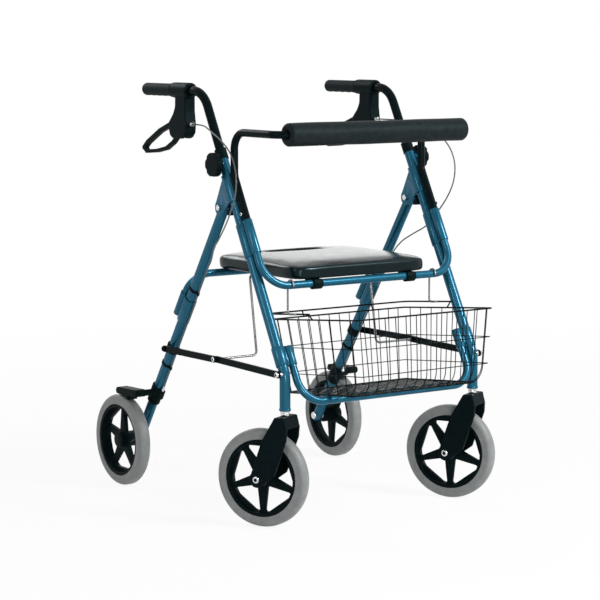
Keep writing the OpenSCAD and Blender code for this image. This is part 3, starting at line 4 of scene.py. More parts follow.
import bmesh
import bpy
import numpy as np
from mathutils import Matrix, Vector

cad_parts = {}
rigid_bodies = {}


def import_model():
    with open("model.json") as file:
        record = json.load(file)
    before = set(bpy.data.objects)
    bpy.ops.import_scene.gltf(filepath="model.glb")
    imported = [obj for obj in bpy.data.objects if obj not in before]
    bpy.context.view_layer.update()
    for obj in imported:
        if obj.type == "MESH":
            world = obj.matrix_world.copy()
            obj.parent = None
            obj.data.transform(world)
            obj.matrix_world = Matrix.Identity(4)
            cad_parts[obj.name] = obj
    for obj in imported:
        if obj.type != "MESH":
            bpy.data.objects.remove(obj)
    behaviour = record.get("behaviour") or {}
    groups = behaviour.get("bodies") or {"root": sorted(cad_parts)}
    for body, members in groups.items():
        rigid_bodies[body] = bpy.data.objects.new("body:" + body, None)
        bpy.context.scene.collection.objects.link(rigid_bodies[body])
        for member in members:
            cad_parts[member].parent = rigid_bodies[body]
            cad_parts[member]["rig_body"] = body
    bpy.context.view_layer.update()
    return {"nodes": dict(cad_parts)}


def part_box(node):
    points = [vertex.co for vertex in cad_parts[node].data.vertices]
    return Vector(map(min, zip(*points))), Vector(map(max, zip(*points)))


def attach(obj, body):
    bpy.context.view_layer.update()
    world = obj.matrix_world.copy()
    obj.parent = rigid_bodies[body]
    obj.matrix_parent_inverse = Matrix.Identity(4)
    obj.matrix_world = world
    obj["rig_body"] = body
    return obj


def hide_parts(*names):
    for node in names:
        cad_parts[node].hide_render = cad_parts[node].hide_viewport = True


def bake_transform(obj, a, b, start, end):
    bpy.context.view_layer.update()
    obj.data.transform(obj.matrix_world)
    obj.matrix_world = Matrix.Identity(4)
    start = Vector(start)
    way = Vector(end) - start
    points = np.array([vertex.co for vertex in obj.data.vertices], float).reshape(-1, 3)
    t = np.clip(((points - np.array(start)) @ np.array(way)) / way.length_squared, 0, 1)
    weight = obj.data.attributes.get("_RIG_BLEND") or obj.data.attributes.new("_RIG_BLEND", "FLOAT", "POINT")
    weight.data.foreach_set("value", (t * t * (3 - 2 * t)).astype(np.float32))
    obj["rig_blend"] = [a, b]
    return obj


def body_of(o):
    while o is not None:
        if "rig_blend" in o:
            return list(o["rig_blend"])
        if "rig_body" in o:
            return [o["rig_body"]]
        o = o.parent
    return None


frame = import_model()
NODES = frame["nodes"]
MM = 0.001
SIDES = ("right", "left")
SIGNS = (-1, 1)

# The walker's own lines are in millimetres, from the floor half way between the caster stems.
# Two CAD boxes give the way from there to the part's origin.
HIP = 242.0
LEG_LEAN = math.radians(28)
LEG_BEND_Z = 312.0
BASKET_Y = 1.0
BASKET_L = 298.0
BASKET_TILT = math.radians(5.6)
RIM_R = 2.5
rear_leg_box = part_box("rear_leg_left")
ORIGIN_X = HIP - (rear_leg_box[0][0] + rear_leg_box[1][0]) / 2 / MM
BASKET_FRONT_Y = BASKET_Y - BASKET_L / 2 * math.cos(BASKET_TILT) - RIM_R
ORIGIN_Y = BASKET_FRONT_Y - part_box("basket_rim")[0][1] / MM


def at(x, y, z):
    """A point of the walker's own lines, in metres in the part's frame."""
    return Vector(((x - ORIGIN_X) * MM, (y - ORIGIN_Y) * MM, z * MM))


def on_leg(s, ahead=0.0):
    """[y, z] of a point s up the front leg from its bend, some way ahead of its centre line."""
    y = s * math.sin(LEG_LEAN) - ahead * math.cos(LEG_LEAN)
    return y, LEG_BEND_Z + s * math.cos(LEG_LEAN) + ahead * math.sin(LEG_LEAN)


def arc(first, sweep, steps):
    """Angles in even steps, from a first one and a sweep in degrees."""
    return [math.radians(first + sweep * k / steps) for k in range(steps + 1)]


def new_object(name, data):
    made = bpy.data.objects.new(name, data)
    bpy.context.scene.collection.objects.link(made)
    return made


def point_at(thing, place, aim):
    """Puts a camera or a lamp in its place and turns it to a point."""
    thing.location = place
    thing.rotation_euler = (aim - place).to_track_quat("-Z", "Y").to_euler()


# Camera, fitted to the photograph's wheels, legs, basket and grips
CAMERA_POINT = (-2687.97, -3529.37, 991.47)
CAMERA_AIM = (0.0, 268.5, 450.0)
SENSOR_W = 36.0
LENS = 130.8
SHIFT_X = -0.01044
SHIFT_Y = -0.02475
camera_data = bpy.data.cameras.new("photo_camera")
camera_data.sensor_width = SENSOR_W
camera_data.lens = LENS
camera_data.shift_x = SHIFT_X
camera_data.shift_y = SHIFT_Y
camera = new_object("photo_camera", camera_data)
point_at(camera, at(*CAMERA_POINT), at(*CAMERA_AIM))
bpy.context.scene.camera = camera
bpy.context.scene.view_settings.view_transform = "Standard"


# Materials
WHITE = (1.0, 1.0, 1.0, 1.0)
BLACK_TINT = (0.6, 0.95, 1.0, 1.0)
PAINT_TINT = (0.15, 0.7, 1.0, 1.0)
VINYL_TINT = (0.25, 0.42, 0.46, 1.0)
PATCH_STOPS = (0.3, 0.7)
FLAKE_STOPS = (0.25, 0.75)
CELL_SMOOTHNESS = 0.35


def add_node(tree, kind, sockets):
    """A shader node whose inputs each take a value or another node's output."""
    made = tree.nodes.new(kind)
    for name, value in sockets.items():
        if hasattr(value, "links"):
            tree.links.new(value, made.inputs[name])
        else:
            made.inputs[name].default_value = value
    return made


def ranged(tree, value, low, high, start=0.0, stop=1.0):
    """A value that runs from start to stop, carried over to run from low to high."""
    sockets = {"Value": value, "From Min": start, "From Max": stop, "To Min": low, "To Max": high}
    return add_node(tree, "ShaderNodeMapRange", sockets).outputs["Result"]


class Look:
    """A node material with a Principled shader and helpers for its textures."""

    def __init__(self, name, roughness, metallic=0.0, specular=0.5, tint=WHITE):
        self.material = bpy.data.materials.new(name)
        self.material.use_nodes = True
        self.tree = self.material.node_tree
        self.shader = self.tree.nodes["Principled BSDF"]
        self.set("Roughness", roughness)
        self.set("Metallic", metallic)
        self.set("Specular IOR Level", specular)
        self.set("Specular Tint", tint)
        self.place = self.tree.nodes.new("ShaderNodeTexCoord").outputs["Object"]

    def set(self, socket, value):
        self.shader.inputs[socket].default_value = value

    def link(self, output, socket):
        self.tree.links.new(output, self.shader.inputs[socket])

    def noise(self, scale, detail=3.0, rough=0.55):
        sockets = {"Vector": self.place, "Scale": scale, "Detail": detail, "Roughness": rough}
        return add_node(self.tree, "ShaderNodeTexNoise", sockets).outputs["Fac"]

    def cells(self, scale):
        made = add_node(self.tree, "ShaderNodeTexVoronoi", {"Vector": self.place, "Scale": scale})
        made.feature = "SMOOTH_F1"
        made.inputs["Smoothness"].default_value = CELL_SMOOTHNESS
        return made.outputs["Distance"]

    def patches(self, factor, dark, light, stops=PATCH_STOPS):
        """Colours the look from dark to light by a texture."""
        made = add_node(self.tree, "ShaderNodeValToRGB", {"Fac": factor})
        for element, spot, colour in zip(made.color_ramp.elements, stops, (dark, light)):
            element.position = spot
            element.color = (*colour, 1.0)
        self.link(made.outputs["Color"], "Base Color")

    def uneven(self, factor, low, high):
        """Makes the roughness vary by a texture."""
        self.link(ranged(self.tree, factor, low, high), "Roughness")

    def bump(self, height, strength, depth_mm):
        sockets = {"Height": height, "Strength": strength, "Distance": depth_mm * MM}
        self.link(add_node(self.tree, "ShaderNodeBump", sockets).outputs["Normal"], "Normal")


paint = Look("teal_metallic_paint", 0.3, metallic=0.45, specular=0.06, tint=PAINT_TINT)
paint.set("Coat Weight", 0.3)
paint.set("Coat Roughness", 0.16)
paint.patches(paint.noise(2600, 2.0), (0.0045, 0.067, 0.121), (0.0102, 0.116, 0.184), FLAKE_STOPS)
paint.uneven(paint.noise(60), 0.24, 0.36)
paint.bump(paint.noise(420, 1.0), 0.06, 0.2)

plastic = Look("moulded_black_plastic", 0.45, specular=0.035, tint=BLACK_TINT)
plastic.patches(plastic.noise(90), (0.0022, 0.0055, 0.0066), (0.004, 0.0082, 0.0095))
plastic.uneven(plastic.noise(240), 0.38, 0.52)
plastic.bump(plastic.noise(2400, 2.0), 0.12, 0.12)

powder = Look("gloss_black_steel", 0.24, specular=0.035, tint=BLACK_TINT)
powder.patches(powder.noise(120), (0.002, 0.005, 0.006), (0.0036, 0.0072, 0.0084))
powder.uneven(powder.noise(180), 0.2, 0.3)
powder.bump(powder.noise(700, 1.0), 0.05, 0.15)

grip_rubber = Look("soft_grip_rubber", 0.6, specular=0.06, tint=BLACK_TINT)
grip_rubber.patches(grip_rubber.noise(160), (0.006, 0.01, 0.0115), (0.0105, 0.0155, 0.017))
grip_rubber.uneven(grip_rubber.noise(300), 0.5, 0.7)
grip_rubber.bump(grip_rubber.noise(3200, 2.0), 0.25, 0.15)

vinyl = Look("smooth_black_vinyl", 0.24, specular=0.4, tint=VINYL_TINT)
vinyl.patches(vinyl.noise(45), (0.0016, 0.0036, 0.0044), (0.003, 0.0058, 0.0066))
vinyl.uneven(vinyl.noise(38), 0.19, 0.27)
vinyl.bump(vinyl.cells(620), 0.03, 0.12)

foam = Look("closed_cell_foam", 0.46, specular=0.045, tint=BLACK_TINT)
foam.patches(foam.noise(70), (0.009, 0.0132, 0.0142), (0.0145, 0.0195, 0.021))
foam.uneven(foam.noise(130), 0.42, 0.52)
foam.bump(foam.noise(1900, 4.0, 0.65), 0.14, 0.2)

tyre_grey = Look("grey_tyre_rubber", 0.5, specular=0.3)
tyre_grey.patches(tyre_grey.noise(55), (0.2, 0.21, 0.21), (0.25, 0.26, 0.26))
tyre_grey.uneven(tyre_grey.noise(90), 0.34, 0.48)
tyre_grey.bump(tyre_grey.noise(1500, 3.0), 0.14, 0.18)

chrome = Look("bright_plated_steel", 0.16, metallic=1.0)
chrome.patches(chrome.noise(300), (0.55, 0.56, 0.57), (0.72, 0.73, 0.74))
chrome.uneven(chrome.noise(500), 0.1, 0.24)

wire_steel = Look("dull_steel_wire", 0.3, metallic=1.0)
wire_steel.patches(wire_steel.noise(300), (0.15, 0.155, 0.16), (0.24, 0.245, 0.25))
wire_steel.uneven(wire_steel.noise(500), 0.24, 0.36)

sheath = Look("grey_cable_sheath", 0.38, specular=0.3)
sheath.patches(sheath.noise(400), (0.08, 0.085, 0.085), (0.14, 0.145, 0.14))
sheath.bump(sheath.noise(1800, 2.0), 0.15, 0.1)


def pair(stem):
    return [f"{stem}_{side}" for side in SIDES]


def dress(look, names):
    """Gives CAD nodes a material in place of their own."""
    for name in names:
        node = NODES[name]
        if not node.material_slots:
            node.data.materials.append(look.material)
        for slot in node.material_slots:
            slot.material = look.material


dress(paint, pair("front_leg") + pair("rear_leg")
      + ["seat_crossbar", "foot_crossbar", "rear_crossbar", "tube_clamps", "rear_clamps", "hinge_brackets"])
dress(plastic, ["frame_bushes", "brake_brackets", "rear_leg_clips", "seat_board", "seat_clips", "basket_tray"]
      + pair("brake_housing") + pair("brake_lever") + pair("height_knob") + pair("caster_fork")
      + pair("front_hub") + pair("rear_hub") + pair("brake_shoe"))
dress(chrome, ["frame_bolts", "caster_bearings", "rear_axles"] + pair("caster_pins"))
dress(wire_steel, pair("lift_wire"))
dress(powder, pair("brace_front") + pair("brace_rear") + pair("handle_tube")
      + ["backrest_tube", "basket_rim", "basket_ends", "basket_sides"])
dress(grip_rubber, pair("grip"))
dress(tyre_grey, pair("front_tyre") + pair("rear_tyre"))
dress(vinyl, ["seat_cushion"])
dress(foam, ["backrest_pad"])
dress(sheath, pair("cable_upper") + pair("cable_lower"))


# Mesh helpers
CREASE = 50
TURNED_CREASE = 40
LOOP_GAP = 0.01


def loose_piece(name, mesh, look):
    piece = new_object(name, mesh)
    mesh.materials.clear()
    mesh.materials.append(look.material)
    return piece


def new_piece(name, mesh, look, body):
    piece = loose_piece(name, mesh, look)
    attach(piece, body)
    return piece


def opened(mesh):
    bm = bmesh.new()
    bm.from_mesh(mesh)
    return bm


def written(bm, mesh):
    bm.to_mesh(mesh)
    bm.free()
    return mesh


def shade_smooth(mesh):
    mesh.polygons.foreach_set("use_smooth", [True] * len(mesh.polygons))
    return mesh


def sharpen(mesh, angle):
    """Smooth shading with the edges over an angle in degrees kept crisp."""
    bm = opened(shade_smooth(mesh))
    for edge in bm.edges:
        if len(edge.link_faces) == 2:
            edge.smooth = edge.calc_face_angle() < math.radians(angle)
    return written(bm, mesh)


def round_edges(bm, edges, round_mm):
    bmesh.ops.bevel(bm, geom=edges, offset=round_mm * MM, offset_type="OFFSET", segments=2, profile=0.5,
                    affect="EDGES", clamp_overlap=True)


def tube_mesh(name, paths, width, sides):
    """Round wires of one width in millimetres, along lists of points."""
    bm = bmesh.new()
    for path in paths:
        add_tube(bm, path, width / 2 * MM, sides)
    bmesh.ops.recalc_face_normals(bm, faces=bm.faces)
    return shade_smooth(written(bm, bpy.data.meshes.new(name)))


def add_tube(bm, path, radius, sides):
    """One tube; a path that comes back to its start is a closed loop."""
    loop = (path[0] - path[-1]).length < LOOP_GAP * MM
    if loop:
        path = path[:-1]
    last = len(path) - 1
    across = None
    rings = []
    for i, p in enumerate(path):
        before = path[i - 1] if loop else path[max(i - 1, 0)]
        after = path[(i + 1) % len(path)] if loop else path[min(i + 1, last)]
        along = (after - before).normalized()
        if across is None:
            across = along.orthogonal().normalized()
        across = (across - along * across.dot(along)).normalized()
        rings.append(add_ring(bm, p, across, along.cross(across), radius, sides))
    join_rings(bm, rings + rings[:1] if loop else rings, not loop)


def add_ring(bm, middle, across, other, radius, sides):
    turns = [2 * math.pi * j / sides for j in range(sides)]
    return [bm.verts.new(middle + radius * (across * math.cos(a) + other * math.sin(a))) for a in turns]


def join_rings(bm, rings, capped):
    sides = len(rings[0])
    for low, high in zip(rings, rings[1:]):
        for j in range(sides):
            k = (j + 1) % sides
            bm.faces.new((low[j], low[k], high[k], high[j]))
    if capped:
        bm.faces.new(rings[0][::-1])
        bm.faces.new(rings[-1])


def turned_mesh(name, spots, sides=28):
    """Turned bodies: each spot is a base point, an axis and a profile of [height, radius] in millimetres."""
    bm = bmesh.new()
    for base, axis, profile in spots:
        along = Vector(axis).normalized()
        across = along.orthogonal().normalized()
        other = along.cross(across)
        rings = [add_ring(bm, base + along * height * MM, across, other, radius * MM, sides)
                 for height, radius in profile]
        join_rings(bm, rings, True)
    bmesh.ops.recalc_face_normals(bm, faces=bm.faces)
    return sharpen(written(bm, bpy.data.meshes.new(name)), TURNED_CREASE)


def smooth_path(points, steps):
    """A curve through points that are given one by one."""
    last = len(points) - 1
    out = []
    for i in range(last):
        a, b, c, d = points[max(i - 1, 0)], points[i], points[i + 1], points[min(i + 2, last)]
        for k in range(steps):
            t = k / steps
            out.append(0.5 * (2 * b + (c - a) * t + (2 * a - 5 * b + 4 * c - d) * t * t
                              + (3 * b - a - 3 * c + d) * t ** 3))
    return out + [points[last]]


# Brake cables: from the adjuster in an outboard loop to the rear leg, and down it to the brake
CABLE_D = 3.0
CABLE_SIDES = 12
CABLE_STEPS = 4
CABLE_HELD = 4
CABLE_AHEAD = 17.7
ADJUSTER = (335.9, 798.5)
HINGE_UP = 362.4
HINGE_BEHIND = 47.5
HINGE_Y = on_leg(HINGE_UP)[0] + HINGE_BEHIND
HINGE_Z = on_leg(HINGE_UP)[1]
REAR_LEAN = math.radians(33)
BRAKE_Z = 212.0
BRAKE_DOWN = (HINGE_Z - BRAKE_Z) / math.cos(REAR_LEAN)
ABOVE_BRAKE = 17.0
CLIPPED_FROM = 140.0
CLIPPED_TO = BRAKE_DOWN - ABOVE_BRAKE
CLIPPED_STEPS = 8


def on_rear_leg(d):
    """[outboard, y, z] of the cable where it is clipped to the rear leg, d down from the hinge."""
    y = HINGE_Y + d * math.sin(REAR_LEAN) - CABLE_AHEAD * math.cos(REAR_LEAN)
    z = HINGE_Z - d * math.cos(REAR_LEAN) - CABLE_AHEAD * math.sin(REAR_LEAN)
    return (0, y, z)


def cable_point(sign, point):
    outboard, y, z = point
    return at(sign * (HIP + outboard), y, z)


# Points of the cable as [outboard of the leg, y, z]
CABLE_TOP = [(0, *ADJUSTER), (3, 310.9, 798.5), (16, 266, 797), (30, 220, 788), (37, 175, 773),
             (39, 140, 752), (40, 120, 726), (40, 113, 698)]
CABLE_FALL = [(39, 118, 667), (37, 135, 636), (33, 161, 604), (28, 196, 570), (18, 228, 551), (8, 250, 536),
              (2.5, 263, 523), (0.3, 271.8, 513.2), on_rear_leg(CLIPPED_FROM)]
clipped_step = (CLIPPED_TO - CLIPPED_FROM) / CLIPPED_STEPS
CABLE_CLIPPED = [on_rear_leg(CLIPPED_FROM + clipped_step * i) for i in range(1, CLIPPED_STEPS + 1)]
for side, sign in zip(SIDES, SIGNS):
    whole = smooth_path([cable_point(sign, p) for p in CABLE_TOP + CABLE_FALL], CABLE_STEPS)
    bend = (len(CABLE_TOP) - 1) * CABLE_STEPS
    top_path = whole[:bend + 1]
    low_path = whole[bend:] + [cable_point(sign, p) for p in CABLE_CLIPPED]
    top_mesh = tube_mesh("cable", [top_path], CABLE_D, CABLE_SIDES)
    low_mesh = tube_mesh("cable", [low_path], CABLE_D, CABLE_SIDES)
    top = loose_piece(f"brake_cable_top_{side}", top_mesh, sheath)
    low = loose_piece(f"brake_cable_low_{side}", low_mesh, sheath)
    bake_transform(top, f"handle_{side}", "front_frame", start=top_path[1],
             end=top_path[CABLE_HELD * CABLE_STEPS])
    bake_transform(low, "front_frame", "rear_frame", start=low_path[0], end=whole[-2])
    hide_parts(f"cable_upper_{side}")
    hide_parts(f"cable_lower_{side}")

# Shape helpers for pieces that stand in for CAD nodes
SAME_POINT = 0.004
FLAT_ANGLE = math.radians(0.6)
HARD_ANGLE = math.radians(38)
KEPT_FACES = 0.4
SMOOTHING = 0.5


def applied(piece):
    """The piece's mesh with its modifiers carried out."""
    bpy.context.view_layer.update()
    graph = bpy.context.evaluated_depsgraph_get()
    mesh = bpy.data.meshes.new_from_object(piece.evaluated_get(graph))
    piece.modifiers.clear()
    piece.data = mesh
    return mesh


def merged_copy(node):
    """A copy of a node's mesh with its corners joined and its flat faces whole."""
    mesh = NODES[node].data.copy()
    bm = opened(mesh)
    bmesh.ops.remove_doubles(bm, verts=bm.verts, dist=SAME_POINT * MM)
    bmesh.ops.dissolve_limit(bm, angle_limit=FLAT_ANGLE, verts=bm.verts, edges=bm.edges)
    bmesh.ops.recalc_face_normals(bm, faces=bm.faces)
    return written(bm, mesh)


def stand_in(node, mesh, look, name=None):
    """A new piece in place of a CAD node, on the node's own body."""
    piece = new_piece(name or f"{node}_dressed", mesh, look, body_of(NODES[node])[0])
    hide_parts(node)
    return piece


def soften(node, look, round_mm):
    """A CAD node with its hard edges rounded."""
    mesh = merged_copy(node)
    bm = opened(mesh)
    hard = [e for e in bm.edges if len(e.link_faces) == 2 and e.calc_face_angle() > HARD_ANGLE]
    round_edges(bm, hard, round_mm)
    stand_in(node, sharpen(written(bm, mesh), CREASE), look)


def add_smoothing(piece, rounds):
    smooth = piece.modifiers.new("round", "SMOOTH")
    smooth.factor = SMOOTHING
    smooth.iterations = rounds


def melt(node, look, voxel_mm, rounds):
    """A CAD node remade as one moulding, with every edge run round."""
    piece = stand_in(node, merged_copy(node), look)
    remesh = piece.modifiers.new("skin", "REMESH")
    remesh.mode = "VOXEL"
    remesh.voxel_size = voxel_mm * MM
    add_smoothing(piece, rounds)
    fewer = piece.modifiers.new("fewer", "DECIMATE")
    fewer.ratio = KEPT_FACES
    shade_smooth(applied(piece))


for side in SIDES:
    melt(f"brake_housing_{side}", plastic, voxel_mm=1.2, rounds=5)
    melt(f"brake_lever_{side}", plastic, voxel_mm=0.9, rounds=3)
    melt(f"caster_fork_{side}", plastic, voxel_mm=1.5, rounds=4)
    melt(f"brake_shoe_{side}", plastic, voxel_mm=1.2, rounds=4)
    melt(f"height_knob_{side}", plastic, voxel_mm=1.0, rounds=4)
    melt(f"grip_{side}", grip_rubber, voxel_mm=0.9, rounds=3)
    soften(f"front_hub_{side}", plastic, round_mm=1.2)
    soften(f"rear_hub_{side}", plastic, round_mm=1.2)
    soften(f"caster_pins_{side}", chrome, round_mm=0.7)
melt("brake_brackets", plastic, voxel_mm=1.2, rounds=4)
soften("seat_board", plastic, round_mm=1.5)
soften("seat_clips", plastic, round_mm=1.2)
soften("rear_leg_clips", plastic, round_mm=0.8)
soften("tube_clamps", paint, round_mm=0.7)
soften("rear_clamps", paint, round_mm=0.7)
soften("hinge_brackets", paint, round_mm=0.8)
soften("frame_bolts", chrome, round_mm=0.9)
soften("rear_axles", chrome, round_mm=0.9)

# Seat cushion: vinyl over foam, swollen a little by cloth pressure and held at the board
BAR_AHEAD = 22.5
BAR_R = 8.0
SEAT_BAR_UP = 180.0
SEAT_BAR = on_leg(SEAT_BAR_UP, BAR_AHEAD)
SEAT_W = 352.0
SEAT_D = 314.0
SEAT_OVERHANG = 7.0
SEAT_OVER_BAR = 1.0
BOARD_T = 6.0
CUSHION_GAP = 0.1
SEAT_MID_Y = SEAT_BAR[0] - SEAT_OVERHANG + SEAT_D / 2
CUSHION_Z = SEAT_BAR[1] + BAR_R + SEAT_OVER_BAR + BOARD_T + CUSHION_GAP
CUSHION_EDGE = 22.0
CUSHION_CROWN = 7.0
CROWN_POWER = 4
SLOT_FROM_REAR = 68.0
SLOT_Y = SEAT_MID_Y + SEAT_D / 2 - SLOT_FROM_REAR
SLOT_L = 150.0
SLOT_W = 36.0
SEAT_SQUARE = 10
SLOT_SQUARE = 4
DRAW_IN = 0.012
SLOT_ROLL = 6
EDGE_ROLL = 9
TOP_STEPS = 14
CUSHION_STEPS = 168
CUSHION_SHRINK = 1.2
CUSHION_CAP = 2.0
HELD_BAND = 3.0
CLOTH_PRESSURE = 4.0
CLOTH_QUALITY = 6
CLOTH_FRAMES = 20
LEAST_MOVE = 1e-9


def squarish(a, half_x, half_y, power):
    """The point at an angle on a rectangle with rounded corners."""
    c, s = math.cos(a), math.sin(a)
    r = ((abs(c) / half_x) ** power + (abs(s) / half_y) ** power) ** (-1 / power)
    return r * c, r * s


def seat_edge(a, inside):
    """A point some way inside the seat's outline, whose sides draw in between its corners."""
    half_x, half_y = SEAT_W / 2 - inside, SEAT_D / 2 - inside
    x, y = squarish(a, half_x, half_y, SEAT_SQUARE)
    u, v = x / half_x, y / half_y
    return Vector((x * (1 - DRAW_IN * (1 - v * v)), SEAT_MID_Y + y * (1 - DRAW_IN * (1 - u * u))))


def slot_edge(a, grow):
    """The hand slot's edge, on the line from the slot's middle to the seat's edge."""
    middle = Vector((0.0, SLOT_Y))
    way = seat_edge(a, 0.0) - middle
    u, v = abs(way.x) / (SLOT_L / 2 + grow), abs(way.y) / (SLOT_W / 2 + grow)
    return middle + way * (u ** SLOT_SQUARE + v ** SLOT_SQUARE) ** (-1 / SLOT_SQUARE)


def cushion_top(p):
    u, v = p.x / (SEAT_W / 2), (p.y - SEAT_MID_Y) / (SEAT_D / 2)
    return CUSHION_EDGE + CUSHION_CROWN * (1 - u ** CROWN_POWER) * (1 - v ** CROWN_POWER)


def cushion_rows():
    """[way from slot to edge, growth of the slot, distance inside the edge, share of the height, rise]."""
    rows = [(0, 1, 0, 0, 0.5), (0, 0.6, 0, 0.5, 0)]
    rows += [(0, 0.8, 0, 1, -4.5), (0, 1.8, 0, 1, -2.2), (0, 3.6, 0, 1, -0.7)]
    rows += [(i / TOP_STEPS, SLOT_ROLL, EDGE_ROLL, 1, 0) for i in range(TOP_STEPS + 1)]
    rows += [(1, 0, 6.2, 1, -0.45), (1, 0, 4, 1, -1.3), (1, 0, 2.2, 1, -2.6), (1, 0, 0.9, 1, -4.6)]
    rows += [(1, 0, 0.2, 1, -7.2), (1, 0, 0, 0.5, 0), (1, 0, 0.3, 0.2, 1), (1, 0, 1, 0, 0)]
    rows += [(1, 0, 1.8, 0, -3.2), (1, 0, 3.2, 0, -5), (1, 0, 5, 0, -5.6), (1, 0, 7.2, 0, -5.6)]
    return rows + [(1, 0, 7.6, 0, 0.4)]


def wrapped_mesh(name, lines):
    """A closed skin over lines of points, each joined to the next and to itself all the way round."""
    count = len(lines[0])
    faces = []
    for i in range(len(lines)):
        n = (i + 1) % len(lines)
        for j in range(count):
            k = (j + 1) % count
            faces.append((i * count + j, i * count + k, n * count + k, n * count + j))
    mesh = bpy.data.meshes.new(name)
    mesh.from_pydata([p for line in lines for p in line], [], faces)
    bm = opened(mesh)
    bmesh.ops.recalc_face_normals(bm, faces=bm.faces)
    return shade_smooth(written(bm, mesh))


def cushion_mesh():
    rows = cushion_rows()
    lines = []
    for i in range(CUSHION_STEPS):
        a = 2 * math.pi * (i + 0.5) / CUSHION_STEPS
        line = []
        for way, grow, inside, share, rise in rows:
            p = slot_edge(a, grow).lerp(seat_edge(a, inside + CUSHION_SHRINK), way)
            line.append(at(p.x, p.y, CUSHION_Z + share * (cushion_top(p) - CUSHION_SHRINK) + rise))
        lines.append(line)
    return wrapped_mesh("cushion", lines)


def puff(piece, held_z, cap_mm):
    """Swells a closed mesh with cloth pressure, held under a height, and caps how far any point moves."""
    rest = np.array([v.co for v in piece.data.vertices])
    group = piece.vertex_groups.new(name="held")
    group.add([i for i, p in enumerate(rest) if p[2] < held_z * MM], 1.0, "REPLACE")
    cloth = piece.modifiers.new("swell", "CLOTH")
    cloth.settings.use_pressure = True
    cloth.settings.uniform_pressure_force = CLOTH_PRESSURE
    cloth.settings.vertex_group_mass = "held"
    cloth.settings.effector_weights.gravity = 0.0
    cloth.settings.quality = CLOTH_QUALITY
    cloth.point_cache.frame_start = 1
    cloth.point_cache.frame_end = CLOTH_FRAMES
    scene = bpy.context.scene
    for step in range(1, CLOTH_FRAMES + 1):
        scene.frame_set(step)
    swollen = applied(piece)
    scene.frame_set(1)
    moved = np.array([v.co for v in swollen.vertices]) - rest
    far = np.linalg.norm(moved, axis=1)
    share = np.minimum(1.0, cap_mm * MM / np.maximum(far, LEAST_MOVE))
    swollen.vertices.foreach_set("co", (rest + moved * share[:, None]).ravel())
    piece.vertex_groups.clear()


def smooth_skin(piece):
    """Evens a skin out once and cuts each of its faces in four."""
    add_smoothing(piece, 1)
    finer = piece.modifiers.new("finer", "SUBSURF")
    finer.levels = 1
    finer.render_levels = 1
    shade_smooth(applied(piece))


cushion = stand_in("seat_cushion", cushion_mesh(), vinyl, "seat_cushion_vinyl")
puff(cushion, CUSHION_Z + HELD_BAND, CUSHION_CAP)
smooth_skin(cushion)

# Backrest pad: a foam sleeve on the tube, with lightly uneven skin and soft round ends
PAD_Y = 18.5
PAD_Z = 788.0
PAD_HALF = 224.0
PAD_R = 24.0
PAD_BORE = 8.4
PAD_EDGE = 5.0
PAD_UNDER = 0.4
PAD_STEPS = 48
PAD_SIDES = 56
# Waves of the skin as [height, number round the pad, turn for each millimetre along it]
PAD_WAVES = ((0.22, 3, 0.021), (0.18, 2, 0.047))


def pad_profile():
    """[x, radius] from the bore at one end over the outside to the bore at the other."""
    end = [(-PAD_HALF + 2.0, PAD_BORE), (-PAD_HALF + 0.4, PAD_BORE + 2.5), (-PAD_HALF, PAD_R - PAD_EDGE - 3)]
    for a in arc(90, -90, 6):
        end.append((-PAD_HALF + PAD_EDGE * (1 - math.sin(a)), PAD_R - PAD_EDGE * (1 - math.cos(a))))
    length = 2 * PAD_HALF - 2 * PAD_EDGE
    middle = [(-PAD_HALF + PAD_EDGE + length * k / PAD_STEPS, PAD_R) for k in range(1, PAD_STEPS)]
    return end + middle + [(-x, r) for x, r in reversed(end)]


def pad_mesh():
    lines = []
    for x, r in pad_profile():
        line = []
        for j in range(PAD_SIDES):
            a = 2 * math.pi * j / PAD_SIDES
            size = r
            if r > PAD_R - PAD_EDGE:
                waves = sum(high * math.sin(count * a + x * turn) for high, count, turn in PAD_WAVES)
                size = r + waves - PAD_UNDER
            line.append(at(x, PAD_Y + size * math.cos(a), PAD_Z + size * math.sin(a)))
        lines.append(line)
    return wrapped_mesh("foam_sleeve", lines)


pad = stand_in("backrest_pad", pad_mesh(), foam, "backrest_foam_sleeve")

# Basket walls as round welded wires
BASKET_Z = 416.5
BASKET_W = 346.0
END_LEAN = math.radians(4.5)
SIDE_LEAN = math.radians(6)
WIRE = 2.5
WIRE_SEEN = 1.9
WIRE_SIDES = 10
WALL_TOP = -1.0
MIDDLE_RING_Z = -58.0
KNEE_Z = -112.0
TRAY_Z = -154.04
LOW_RING_Z = TRAY_Z + WIRE
RING_LEVELS = (MIDDLE_RING_Z, KNEE_Z, LOW_RING_Z)
RING_BEND = 6.0
END_GAP = 16.0
SIDE_GAP = 22.0
SLOPE_BACK = 40.0
GAPS_ACROSS = 12
GAPS_ALONG = 7


def in_basket(x, y, z):
    """A point of the basket's own axes, which tilt up at the front."""
    c, s = math.cos(BASKET_TILT), math.sin(BASKET_TILT)
    return at(x, BASKET_Y + y * c + z * s, BASKET_Z - y * s + z * c)


def half_width(z):
    return BASKET_W / 2 + z * math.tan(SIDE_LEAN)


def half_length(z):
    return BASKET_L / 2 + z * math.tan(END_LEAN)


def front_y(z):
    """The front wall, which runs round under the basket below its knee."""
    share = min(1.0, max(0.0, (KNEE_Z - z) / (KNEE_Z - LOW_RING_Z)))
    return -half_length(max(z, KNEE_Z)) + SLOPE_BACK * (1 - math.sqrt(1 - share * share))


def down_levels():
    """Levels of an upright wire's points, closer together where the front wall bends."""
    return [WALL_TOP] + [KNEE_Z - (KNEE_Z - LOW_RING_Z) * math.sin(a) for a in arc(0, 90, 6)]


def shares(gaps):
    return [2 * i / gaps - 1 for i in range(gaps + 1)]


